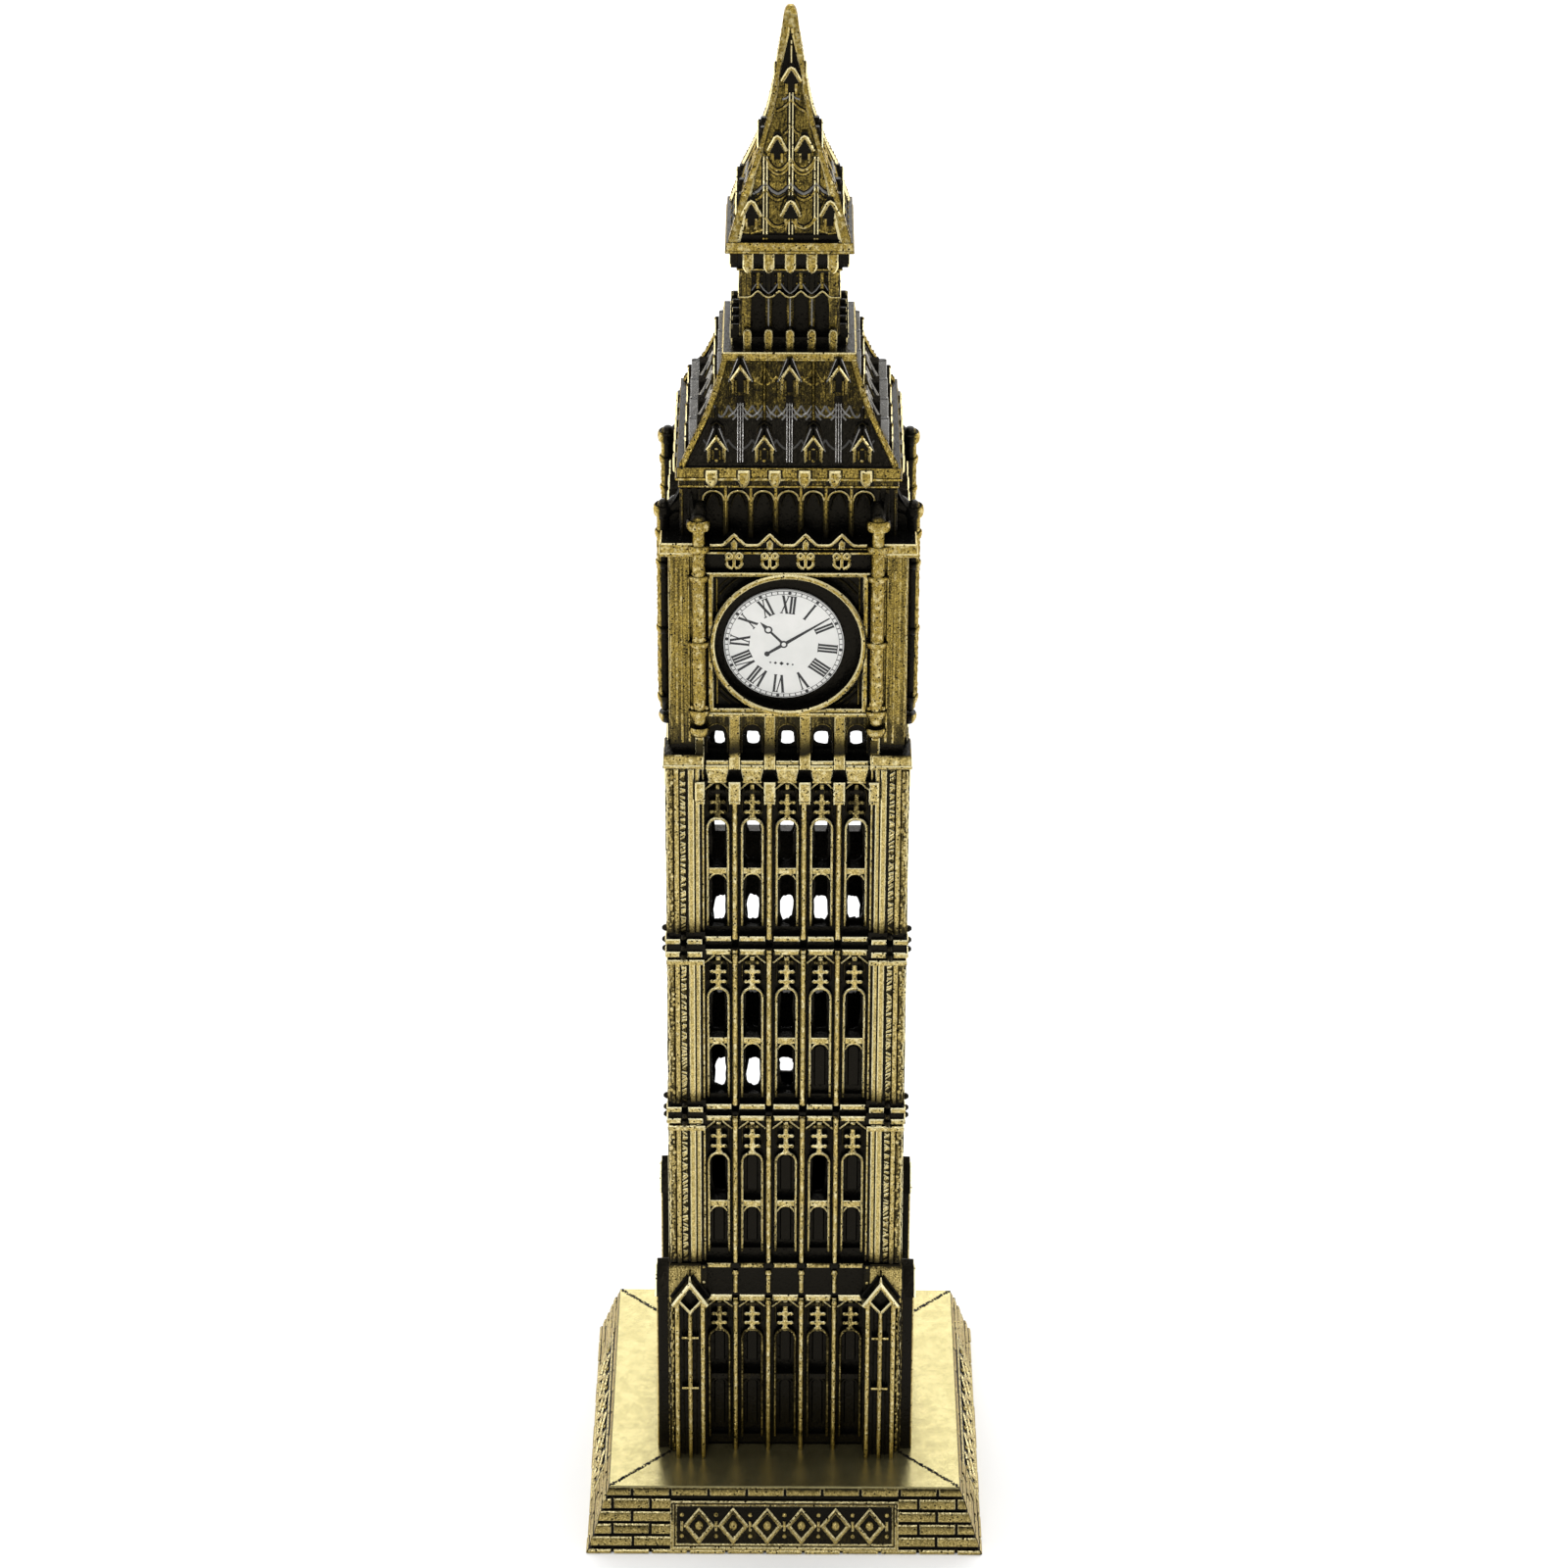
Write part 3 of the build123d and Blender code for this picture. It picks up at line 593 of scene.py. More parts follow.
for x in BAYS:
    xx = x - 0.02
    # funnel between the dark squares
    plate([(xx - 0.98, 96.25), (xx + 0.98, 96.25), (xx + 1.22, 97.75), (xx - 1.22, 97.75)], 11.3, 13.05, c=0.1, lo=12.2, tone=0.9)
    rod((xx - 1.0, 96.2), (xx + 1.0, 96.2), 0.3, 11.5, 13.12, lo=12.3)
    pts = []
    for i in range(9):
        a = math.radians(155) - math.radians(130) * i / 8
        pts.append((xx + 1.16 * math.cos(a), 94.85 + 1.16 * math.sin(a)))
    band(pts, 0.2, 11.4, 12.75, c=0.06, t=0.0, lo=12.0, tone=0.85)
    # sill: two bars
    box(xx - 1.24, xx + 1.24, 98.25, 98.72, 11.3, 12.95, c=0.1, lo=12.1, tone=0.95)
    box(xx - 1.28, xx + 1.28, 97.72, 98.2, 11.3, 13.05, c=0.12, lo=12.1, tone=0.95)
    # arched head
    for s in (-1, 1):
        pts = [(xx + s * 1.32, 103.95), (xx + s * 1.32, 101.9)]
        for i in range(7):
            a = math.pi / 2 * i / 6
            pts.append((xx + s * 1.1 * math.cos(a), 101.9 + 1.15 * math.sin(a)))
        pts.append((xx, 103.95))
        plate(pts, 11.3, 12.45, c=0.05, t=0.0, lo=11.9, tone=0.45)
    slab_box(xx - 1.2, xx + 1.2, 98.6, 99.3, 10.6, 11.1, tone=0.0)
    pts = [(xx - 1.12, 99.6)]
    for i in range(9):
        a = math.pi - math.pi * i / 8
        pts.append((xx + 1.12 * math.cos(a), 101.9 + 1.15 * math.sin(a)))
    pts.append((xx + 1.12, 99.6))
    band(pts, 0.16, 11.4, 12.55, c=0.05, t=0.0, lo=12.0, tone=0.55)
for s in (-1, 1):
    # band round the corner under the pier
    box(*sx(s, 9.15, 15.0), 98.35, 99.62, 11.3, 13.41, c=0.12, lo=12.6, tone=0.88)
    box(*sx(s, 9.15, 15.0), 98.0, 98.42, 11.3, 13.5, c=0.1, lo=12.6, tone=1.0)
    slab_box(*sx(s, 9.8, 15.0), 99.5, 101.0, 11.3, 12.45, tone=0.12, lo=12.3, hi=13.0)

# ------------------------------------------------------------------ 5. clock stage
zone(lo=11.95, tone=1.0, fade=0.0)
for s in (-1, 1):
    # corner pier, broad and plain, with shallow flutes
    box(*sx(s, 9.9, 15.0), 100.6, 123.9, 11.3, 12.68, c=0.1, lo=12.0, tone=0.56, gloss=0.15, fade=1.0)
    profile_x([(11.3, 99.6), (12.5, 99.6), (12.66, 101.2), (12.66, 101.5), (11.3, 101.5)], *sx(s, 9.9, 15.0), lo=12.0, hi=13.4, tone=0.3)
    for xa, z0, z1 in ((10.55, 101.0, 123.4), (11.35, 100.9, 121.5), (11.9, 103.2, 123.4)):
        rod((s * xa, z0), (s * xa, z1), 0.34, 12.2, 12.78, n=4, lo=12.3, tone=0.78, gloss=0.2)
    # round column with cup-shaped bracelets
    x = s * 9.5
    cup = dict(n=18, sx=1.26, lo=13.15, hi=13.95, fade=0.0)
    lathe(x, 13.26, [(0.6, 104.6), (0.72, 105.6), (0.77, 106.6), (0.77, 123.9), (0.7, 124.4)], n=14, sx=1.0, lo=13.2, hi=13.9, tone=0.95, fade=0.0)
    r = random.Random(70 + s)
    z = 105.9
    while z < 123.5:
        for k in (-1, 1, 0):
            a = r.uniform(0.5, 2.65)
            knob(x + 0.73 * math.cos(a), z + r.uniform(-0.2, 0.2), 13.26 + 0.73 * math.sin(a), 0.13, r.uniform(0.14, 0.34), 0.1, n=6, m=4, lo=13.2, hi=13.9, tone=1.0, fade=0.0)
        z += r.uniform(0.35, 0.6)
    for zc in (121.0, 113.2):
        lathe(x, 13.26, [(0.62, zc - 0.6), (0.84, zc - 0.36), (0.93, zc - 0.02), (0.93, zc + 0.16), (0.84, zc + 0.26), (0.7, zc + 0.12), (0.6, zc + 0.12)], tone=1.0, **cup)
    lathe(x, 13.26, [(0.62, 123.8), (0.9, 124.05), (0.98, 124.45), (0.98, 124.7), (0.88, 124.8), (0.7, 124.66), (0.6, 124.66)], tone=1.0, **cup)
    # knob and scroll where the column ends
    lathe(x, 13.2, [(0.4, 103.3), (0.62, 103.7), (0.66, 104.2), (0.84, 104.5), (0.94, 104.95), (0.94, 105.15), (0.84, 105.22), (0.7, 105.1), (0.6, 105.1)], tone=1.0, **cup)
    for k in (-1, 1):
        knob(x + k * 0.72, 105.5, 13.5, 0.3, 0.3, 0.26, lo=13.1, hi=13.6, tone=0.9, fade=0.0)
    lathe(x, 13.05, [(0.3, 101.7), (0.7, 101.95), (0.92, 102.4), (0.96, 102.75), (0.86, 103.0), (0.6, 103.05)], n=18, sx=1.2, lo=12.9, hi=13.8, tone=0.95, fade=0.0)
    # cap: a shallow cup, with a pinnacle running back to the belfry wall
    lathe(x, 13.3, [(0.7, 126.5), (0.98, 126.62), (1.07, 126.9), (1.08, 127.3), (1.02, 127.62), (0.9, 127.74), (0.76, 127.56), (0.55, 127.5)], n=20, sx=1.24, lo=13.2, hi=14.0, tone=0.95, fade=0.0)
    lathe(x, 13.25, [(0.7, 127.2), (0.72, 127.6), (0.62, 127.95), (0.4, 128.2), (0.12, 128.3)], n=16, sx=1.24, lo=13.2, hi=14.2, tone=0.6, fade=0.0)
    lathe(x, 13.3, [(0.78, 124.5), (0.72, 125.0), (0.72, 125.9), (0.74, 126.7)], n=14, lo=13.2, hi=13.9, tone=1.0, fade=0.0)
    rows = []
    for d, z0_, z1_, w_ in ((9.8, 127.3, 129.6, 0.75), (11.2, 127.0, 129.3, 0.85), (12.4, 126.6, 128.6, 0.85), (13.2, 126.7, 127.8, 0.6)):
        zc_, h_ = (z0_ + z1_) / 2, (z1_ - z0_) / 2
        rows.append([(x + w_ * math.cos(2 * math.pi * i / 12), zc_ + h_ * math.sin(2 * math.pi * i / 12), d) for i in range(12)])
    rings(rows, 2, (0, 2), tone=0.0, lo=15.0, hi=16.0)
    slab_box(x - 0.5, x + 0.5, 124.2, 127.0, 9.8, 12.6, tone=0.0, lo=15.0, hi=16.0)
    # blade standing behind the cap
    rings([[(x - s * 0.2 + s * 0.55, 127.4, 12.9), (x - s * 0.2 + s * 0.95, 127.4, 12.7), (x - s * 0.2 + s * 0.75, 127.6, 12.2)], [(x - s * 0.2 + s * 0.95, 130.0, 11.6), (x - s * 0.2 + s * 1.35, 130.0, 11.4), (x - s * 0.2 + s * 1.15, 130.2, 11.0)]], 2, (2, 2), tone=0.0, lo=15.0, hi=16.0)
    # pilaster under the knob
    box(*sx(s, 9.05, 9.95), 98.9, 102.2, 11.3, 13.1, c=0.12, lo=12.3, tone=0.92)
    # corner cornice with a flat ledge behind it
    box(*sx(s, 10.0, 15.5), 123.72, 125.02, 9.9, 13.6, c=0.14, lo=12.8, tone=0.85)
    box(*sx(s, 10.0, 15.5), 123.5, 123.95, 9.9, 13.72, c=0.12, lo=12.8, tone=1.0)

# clock frame: square moulding, spandrels and ring
band([(-8.28, 104.75), (8.28, 104.75), (8.28, 121.05), (-8.28, 121.05)], 0.6, 11.5, 12.9, c=0.12, closed=True, lo=12.0, tone=0.8)
box(-8.75, 8.75, 104.18, 104.62, 11.4, 13.18, c=0.12, lo=12.1, tone=1.0)
box(-8.7, 8.7, 120.98, 121.36, 11.4, 13.12, c=0.12, lo=12.1, tone=0.9)
for s in (-1, 1):
    rod((s * 7.6, 105.4), (s * 7.6, 120.6), 0.16, 11.6, 12.35, n=4, lo=11.9, tone=0.55)
    for zc, up in ((105.05, 1), (120.75, -1)):
        cz = 112.82
        for k, rr in enumerate((9.15, 9.75, 10.3)):
            pts = []
            for i in range(13):
                a = math.radians(45 + (i - 6) * 2.6)
                px, pz = s * rr * math.cos(a), cz - up * rr * math.sin(a)
                if abs(px) < 7.5 and abs(pz - cz) < 7.75:
                    pts.append((px, pz))
            if len(pts) > 2:
                band(pts, 0.22, 11.6, 12.2, c=0.08, lo=11.8, tone=0.32)
        plate([(s * 7.55, cz - up * 7.8), (s * 5.6, cz - up * 7.8), (s * 7.55, cz - up * 5.9)], 11.5, 12.05, c=0.06, lo=11.8, tone=0.12)
ring_path = [(8.14 * math.cos(2 * math.pi * i / 72), 112.82 + 8.14 * math.sin(2 * math.pi * i / 72)) for i in range(72)]
band(ring_path, 0.56, 11.2, 13.3, c=0.17, t=0.06, closed=True, lo=12.6, tone=1.0, fade=0.0)

# parapet: gabled coping, string and fleurons
zone(lo=11.95, tone=1.0, fade=0.0)
GABLES = (-5.75, -1.96, 1.83, 5.66)
path = [(-8.9, 124.5)]
for g in GABLES:
    path += [(g - 1.35, 124.5), (g - 1.05, 124.62), (g - 0.25, 125.5), (g, 125.72), (g + 0.25, 125.5), (g + 1.05, 124.62), (g + 1.35, 124.5)]
path.append((8.9, 124.5))
band(path, 0.34, 11.4, 13.0, c=0.12, lo=12.2, tone=1.0)
for g in GABLES:
    plate([(g - 1.15, 123.95), (g + 1.15, 123.95), (g + 1.1, 124.5), (g, 125.6), (g - 1.1, 124.5)], 11.4, 12.35, c=0.05, tone=0.12, lo=12.0)
    plate([(g - 0.3, 123.9), (g + 0.3, 123.9), (g + 0.34, 124.75), (g, 125.15), (g - 0.34, 124.75)], 11.4, 12.85, c=0.13, lo=12.2, tone=0.85)
rod((-9.0, 123.55), (9.0, 123.55), 0.3, 11.4, 12.85, lo=12.1, tone=0.85)
rod((-9.0, 123.95), (9.0, 123.95), 0.16, 11.4, 12.6, lo=12.0, tone=0.55)
profile_x([(11.4, 121.3), (12.3, 121.5), (12.35, 123.4), (11.4, 123.4)], -9.0, 9.0, tone=0.12, lo=12.0, hi=13.4)
for g in GABLES:
    box(g - 0.16, g + 0.16, 121.95, 123.75, 11.6, 13.05, c=0.08, lo=12.4, tone=0.95)
    for k in (-1, 1):
        pts = [(g + k * (0.55 + 0.27 * math.cos(a)), 123.33 + 0.29 * math.sin(a)) for a in [2 * math.pi * q / 14 for q in range(14)]]
        band(pts, 0.32, 11.8, 13.15, c=0.1, closed=True, lo=12.4, tone=1.0)
        rod((g + k * 0.2, 122.95), (g + k * 0.95, 122.85), 0.24, 11.8, 12.95, n=5, lo=12.4, tone=0.9)
        pts = [(g + k * (0.1 + 0.72 * math.cos(a)), 122.45 + 0.62 * math.sin(a)) for a in [math.radians(q) for q in (8, -15, -40, -62, -85)]]
        band(pts, 0.34, 11.8, 13.05, c=0.12, lo=12.4, tone=1.0)
        knob(g + k * 0.78, 122.62, 12.8, 0.2, 0.22, 0.24, lo=12.5)

# ------------------------------------------------------------------ 6. belfry
zone(lo=10.3, tone=1.0, fade=1.0)
ARCHES = (-7.98, -5.33, -2.66, -0.03, 2.63, 5.3, 7.98)
for a, b in zip(ARCHES[:-1], ARCHES[1:]):
    m = (a + b) / 2
    box(m - 0.3, m + 0.3, 124.2, 129.4, 9.8, 11.3, c=0.1, lo=10.6, tone=0.55)
    rod((m, 125.6), (m, 130.5), 0.34, 10.2, 11.42, n=5, lo=10.8, tone=0.75)
for i, x in enumerate(ARCHES):
    for rr, w, d, t in ((1.12, 0.2, 11.42, 0.95), (0.78, 0.14, 10.95, 0.3)):
        pts = []
        for k in range(13):
            a = math.radians(178) - math.radians(176) * k / 12
            pts.append((x + rr * math.cos(a), 129.05 + rr * 0.98 * math.sin(a)))
        band(pts, w, 10.0, d, c=0.06, t=0.02, lo=10.5, tone=t)
    for s in (-1, 1):
        pts = [(x + s * 1.34, 130.75), (x + s * 1.34, 129.0)]
        for k in range(7):
            a = math.pi / 2 * k / 6
            pts.append((x + s * 1.1 * math.cos(a), 129.05 + 1.08 * math.sin(a)))
        pts.append((x, 130.75))
        plate(pts, 9.9, 11.1, c=0.04, t=0.0, lo=10.6, tone=0.16)
        band([(x + s * 0.05, 129.6), (x + s * 0.5, 128.9), (x + s * 0.72, 128.0)], 0.12, 9.9, 10.75, c=0.04, t=0.0, lo=10.4, tone=0.3)
for s in (-1, 1):
    slab_box(*sx(s, 9.05, 13.0), 124.2, 130.9, 9.8, 11.3, tone=0.14, lo=10.9, hi=11.8)
    for xa in (9.5, 10.5):
        rod((s * xa, 126.5), (s * xa, 130.4), 0.5, 10.8, 11.5, n=5, lo=11.0, tone=0.22)
    rod((s * 11.25, 124.8), (s * 11.25, 130.4), 0.3, 10.8, 11.5, n=5, lo=11.0, tone=0.5)

# eaves: two-part cornice and shield bosses
zone(lo=10.9, fade=0.0)
profile_x([(10.0, 130.55), (11.45, 130.62), (11.55, 130.95), (11.5, 131.5), (10.0, 131.6)], -14, 14, tone=0.4, lo=11.1, hi=11.6)
rod((-14, 130.75), (14, 130.75), 0.26, 10.6, 11.66, lo=11.1, tone=0.75)
box(-14, 14, 131.55, 132.95, 10.0, 11.78, c=0.14, lo=11.2, tone=0.62)
rod((-14, 131.7), (14, 131.7), 0.36, 10.6, 11.98, n=5, lo=11.3, tone=1.0)
rod((-14, 132.88), (14, 132.88), 0.24, 10.6, 11.84, n=5, lo=11.3, tone=0.7)
BOSSES = (-8.12, -4.72, -1.46, 1.67, 4.87, 8.17)
for x in BOSSES:
    slab_box(x - 0.82, x + 0.82, 131.0, 132.9, 10.6, 11.8, tone=0.05, lo=11.9, hi=12.9)
    pts = [(x - 0.6, 132.85), (x - 0.64, 132.2), (x - 0.6, 131.6), (x - 0.36, 131.1), (x, 130.72), (x + 0.36, 131.1), (x + 0.6, 131.6), (x + 0.64, 132.2), (x + 0.6, 132.85)]
    plate(pts, 10.8, 12.28, c=0.2, lo=11.6, tone=1.0)

# ------------------------------------------------------------------ 7. main roof
zone(tone=1.0)


def on_roof(z, k=0.0):
    return roof_ridge(z) - 0.45 + k


def slope_rod(x, za, zb, w, rise, fn, tone=1.0, n=6, lean=0.0, steps=6, **kw):
    """A rib that follows a curved roof: fn(z) is the roof's face."""
    rows = []
    for i in range(steps + 1):
        z = za + (zb - za) * i / steps
        base = fn(z)
        xx = x + lean * (z - za)
        sec = [(-w / 2, base - 0.5), (w / 2, base - 0.5)]
        for q in range(n + 1):
            a = math.pi * q / n
            sec.append((w / 2 * math.cos(a), base + rise * math.sin(a)))
        rows.append([(xx + s, z, d) for s, d in sec])
    rings(rows, 2, (0, 0), tone=tone, **kw)


def slope_rib(x, za, zb, w, rise, fn, tone=1.0, steps=8, **kw):
    """A flat-topped rib up a curved roof, with a black line left along both its sides."""
    for ww, rr, tt in ((w + 0.3, 0.07, 0.0), (w, rise, tone)):
        rows = []
        for i in range(steps + 1):
            z = za + (zb - za) * i / steps
            b = fn(z)
            rows.append([(x - ww / 2, z, b - 0.5), (x + ww / 2, z, b - 0.5), (x + ww / 2, z, b + rr * 0.6), (x + ww * 0.28, z, b + rr), (x - ww * 0.28, z, b + rr), (x - ww / 2, z, b + rr * 0.6)])
        rings(rows, [[0, 0, 0, 1, 0, 1]] * steps, (0, 0), tone=tt, **(kw if rr == rise else {**kw, "gloss": 0.0}))


def slope_band(path, w, rise, fn, outline=0.0, **kw):
    """A flat strip bent over a curved roof along a path in (x, z)."""
    if outline:
        slope_band(path, w + outline, 0.06, fn, **{**kw, "tone": 0.0, "gloss": 0.0})
    p = np.asarray(path, float)
    rows = []
    for i in range(len(p)):
        e = p[min(i + 1, len(p) - 1)] - p[max(i - 1, 0)]
        e = e / np.linalg.norm(e)
        m = np.array([-e[1], e[0]])
        a, b = p[i] + m * w / 2, p[i] - m * w / 2
        rows.append([(a[0], a[1], fn(a[1]) - 0.4), (b[0], b[1], fn(b[1]) - 0.4), (b[0], b[1], fn(b[1]) + rise * 0.7), (p[i][0], p[i][1], fn(p[i][1]) + rise), (a[0], a[1], fn(a[1]) + rise * 0.7)])
    rings(rows, 2, (0, 0), **kw)


def scallops(z, h, xs, fn, w=0.2, rise=0.12, **kw):
    """A row of hanging arcs between the points xs, with peaks at each point."""
    for a, b in zip(xs[:-1], xs[1:]):
        pts = []
        for i in range(9):
            t = i / 8
            pts.append((a + (b - a) * t, z - h * math.sin(math.pi * t) ** 0.8))
        slope_band(pts, w, rise, fn, **kw)


def chevrons(z, h, half, xs, fn, w=0.17, rise=0.15, **kw):
    for x in xs:
        slope_band([(x - half, z - h), (x - half * 0.55, z - h * 0.72), (x, z), (x + half * 0.55, z - h * 0.72), (x + half, z - h)], w, rise, fn, **kw)


DARK = dict(lo=0.0, hi=1.0)  # tone alone decides
ROOF_X = (-5.12, -2.58, 0.06, 2.58, 5.22)
rows = []
for z, k in ((137.0, -0.03), (138.4, 0.015), (139.6, 0.02), (141.2, 0.02), (143.2, 0.02)):
    b = on_roof(z)
    rows.append([(-b - 0.8, z, b - 0.4), (b + 0.8, z, b - 0.4), (b + 0.8, z, b + k), (-b - 0.8, z, b + k)])
rings(rows, 2, (0, 0), tone=0.4, **DARK)
# upper part of the roof carries warm tracery, the lower part is nearly black
for x in (-5.12, 0.06, 5.22):
    slope_rod(x, 133.3, 139.6, 0.86, 0.1, on_roof, tone=0.1, **DARK)
    for k in (-0.27, 0.0, 0.27):
        # negative gloss turns these black reeds grey metal: a painted reflection
        slope_rib(x + k, 133.4, 138.9, 0.13, 0.26, on_roof, tone=0.0, gloss=-1.0, **DARK)
for x in (-2.58, 2.58):
    slope_rod(x, 136.2, 143.2, 0.5, 0.2, on_roof, tone=0.5, **DARK)
    for k in (-0.14, 0.14):
        slope_rod(x + k, 136.4, 143.0, 0.14, 0.32, on_roof, tone=0.62, n=4, **DARK)
for x in (-7.65, 7.72):
    slope_rod(x, 136.4, 138.4, 0.5, 0.2, on_roof, tone=0.22, **DARK)
scallops(141.5, 0.85, (-6.4, -3.85, -1.3, 1.3, 3.85, 6.4), on_roof, tone=0.62, **DARK)
chevrons(142.5, 1.5, 1.1, (-2.58, 2.58), on_roof, tone=0.65, **DARK)
chevrons(142.2, 1.4, 0.7, (-2.58, 2.58), on_roof, tone=0.5, **DARK)
# negative gloss: grey metal on these black chevrons and scallops, a painted reflection
chevrons(138.85, 1.3, 1.25, (-5.12, -2.58, 0.06, 2.58, 5.22), on_roof, tone=0.0, gloss=-0.7, **DARK)
chevrons(138.45, 1.2, 0.8, (-5.12, -2.58, 0.06, 2.58, 5.22), on_roof, tone=0.0, gloss=-0.5, **DARK)
scallops(138.6, 1.1, (-7.9, -6.4, -3.85, -1.3, 1.3, 3.85, 6.4, 7.9), on_roof, tone=0.0, gloss=-0.35, **DARK)
scallops(135.4, 0.9, (-9.0, -6.4, -3.85, -1.3, 1.3, 3.85, 6.4, 9.0), on_roof, tone=0.0, gloss=-0.2, **DARK)
for x in (-6.35, -3.8, -1.3, 1.3, 3.85, 6.4):
    slope_rod(x, 139.2, 141.2, 0.14, 0.12, on_roof, tone=0.32, n=3, steps=3, **DARK)


def dormer(x, apex, foot, base, half, d0, d1, post=0.0, tone=1.0, hood=0.0):
    """A gabled dormer pulled straight out of the roof to d1."""
    # body
    plate([(x - half * 0.78, base), (x + half * 0.78, base), (x + half * 0.78, foot + 0.1), (x, apex - 0.35), (x - half * 0.78, foot + 0.1)], d0, d1 - 0.3, c=0.04, t=0.0, tone=0.02, lo=d1 - 0.4, hi=d1 + 0.6)
    # gable bars
    band([(x - half, foot), (x, apex - 0.18), (x + half, foot)], 0.34, d0, d1, c=0.12, t=0.0, lo=d1 - 0.55, hi=d1, tone=tone)
    knob(x, apex - 0.1, d1 - 0.3, 0.2, 0.26, 0.36, lo=d1 - 0.6, tone=tone)
    for s in (-1, 1):
        box(*sorted((x + s * half * 0.62, x + s * (half * 0.62 + 0.34))), base, foot + 0.12, d0, d1 - 0.06, c=0.1, t=0.0, lo=d1 - 0.6, tone=tone * (0.95 if post else 0.6))
    if hood or d1 < 9:
        hh = 0.75
        for s in (-1, 1):
            plate([(x + s * (half + 0.3), foot - 0.35), (x + s * 0.3, apex + hh), (x, apex + hh), (x, apex - 0.2), (x + s * (half - 0.1), foot - 0.1)], d0 - 1.2, d1 - 0.55, c=0.12, t=0.0, lo=d1 + 2, hi=d1 + 3, tone=0.0)
            # negative gloss: grey edge on the black hood, a painted reflection
            band([(x + s * (half + 0.26), foot - 0.3), (x + s * 0.28, apex + hh - 0.06)], 0.13, d0 - 1.2, d1 - 0.44, c=0.05, t=0.0, tone=0.0, gloss=-0.8)
    if hood:
        band([(x - half * 0.98, foot + hood * 0.35), (x - half * 0.62, apex + hood * 0.55), (x, apex + hood), (x + half * 0.62, apex + hood * 0.55), (x + half * 0.98, foot + hood * 0.35)], 0.13, d0 - 1.0, d1 - 1.3, c=0.04, t=0.0, lo=d1 - 2.0, hi=d1 - 1.0, tone=0.3)


for x in (-5.12, 0.06, 5.22):
    dormer(x, 142.95, 141.3, 139.7, 0.98, 5.6, 8.0, tone=1.0)
    for k in (-0.45, 0.45):
        box(x + k - 0.13, x + k + 0.13, 139.6, 141.3, 6.0, 7.95, c=0.06, lo=7.3, tone=0.45)
for x in (-7.62, -2.58, 2.59, 7.72):
    dormer(x, 136.25, 134.65, 133.1, 0.98, 8.0, 11.0, tone=1.0, hood=1.0)
    for k in (-1, 1):
        box(x + k * 0.9 - 0.08, x + k * 0.9 + 0.08, 133.15, 134.7, 8.4, 11.0, c=0.05, lo=10.2, tone=0.85)
    knob(x, 134.75, 10.75, 0.22, 0.14, 0.16, lo=10.4, tone=0.9)
    knob(x, 133.35, 10.8, 0.24, 0.26, 0.2, lo=10.4, tone=0.85)
    box(x - 0.5, x - 0.26, 133.5, 134.6, 8.4, 10.85, c=0.05, lo=10.2, tone=0.5)
    box(x + 0.26, x + 0.5, 133.5, 134.6, 8.4, 10.85, c=0.05, lo=10.2, tone=0.4)
# ridges
for s in (-1, 1):
    rows = []
    for z in (132.9, 134.2, 135.5, 136.7, 137.8, 139.0, 140.2, 142.0, 143.45):
        r_ = roof_ridge(z)
        rows.append([(s * (r_ - 0.72), z, r_ - 1.4), (s * (r_ + 0.9), z, r_ - 1.4), (s * (r_ + 0.9), z, r_), (s * (r_ - 0.52), z, r_), (s * (r_ - 0.66), z, r_ - 0.14)])
    rings(rows, 2, (0, 0), tone=0.72, **DARK)
# top rim of the roof
box(-8, 8, 143.25, 144.12, 4.6, 7.05, c=0.12, lo=6.2, tone=0.72)
rod((-8, 143.3), (8, 143.3), 0.24, 6.0, 7.14, lo=6.5, tone=0.85)

# ------------------------------------------------------------------ 8. lantern
zone(lo=4.6, tone=1.0)
LX = (-4.4, -2.18, 0.08, 2.36, 4.6)
PX = (-3.3, -1.06, 1.2, 3.44)
for x in (-4.55, 4.62):
    box(x - 0.55, x + 0.55, 144.0, 152.6, 4.0, 5.24, c=0.1, lo=4.5, tone=0.5)
for x in LX[1:4]:
    box(x - 0.36, x + 0.36, 144.0, 149.9, 4.0, 5.1, c=0.12, lo=4.5, tone=0.42)
    # negative gloss: grey metal line on black, a painted reflection
    rod((x, 145.6), (x, 149.7), 0.16, 4.2, 5.16, n=4, lo=4.5, tone=0.0, gloss=-0.5)
    box(x - 0.3, x + 0.3, 149.9, 152.6, 4.0, 5.05, c=0.1, lo=4.5, tone=0.2)
for x in PX:
    box(x - 0.2, x + 0.2, 150.5, 152.7, 4.0, 5.12, c=0.08, lo=4.5, tone=0.5)
    for k in (-1, 1):
        # negative gloss: grey metal tracery on black, a painted reflection
        band([(x + k * 0.16, 151.1), (x + k * 0.62, 150.4), (x + k * 1.1, 150.0)], 0.14, 4.2, 5.12, c=0.05, lo=4.6, tone=0.0, gloss=-0.5)
        for zz in (152.0, 151.1):
            knob(x + k * 0.42, zz, 4.95, 0.11, 0.13, 0.14, n=6, m=4, lo=4.6, tone=0.45)
slab_box(-5.2, 5.2, 150.6, 152.5, 4.2, 4.85, tone=0.02)
path = [(-5.6, 149.65)]
for i, x in enumerate(PX):
    path += [(x - 1.02, 149.65), (x - 0.62, 149.8), (x - 0.22, 150.22), (x, 150.36), (x + 0.22, 150.22), (x + 0.62, 149.8), (x + 1.02, 149.65)]
path.append((5.7, 149.65))
band(path, 0.2, 4.2, 5.4, c=0.07, t=0.02, lo=4.8, tone=0.8)
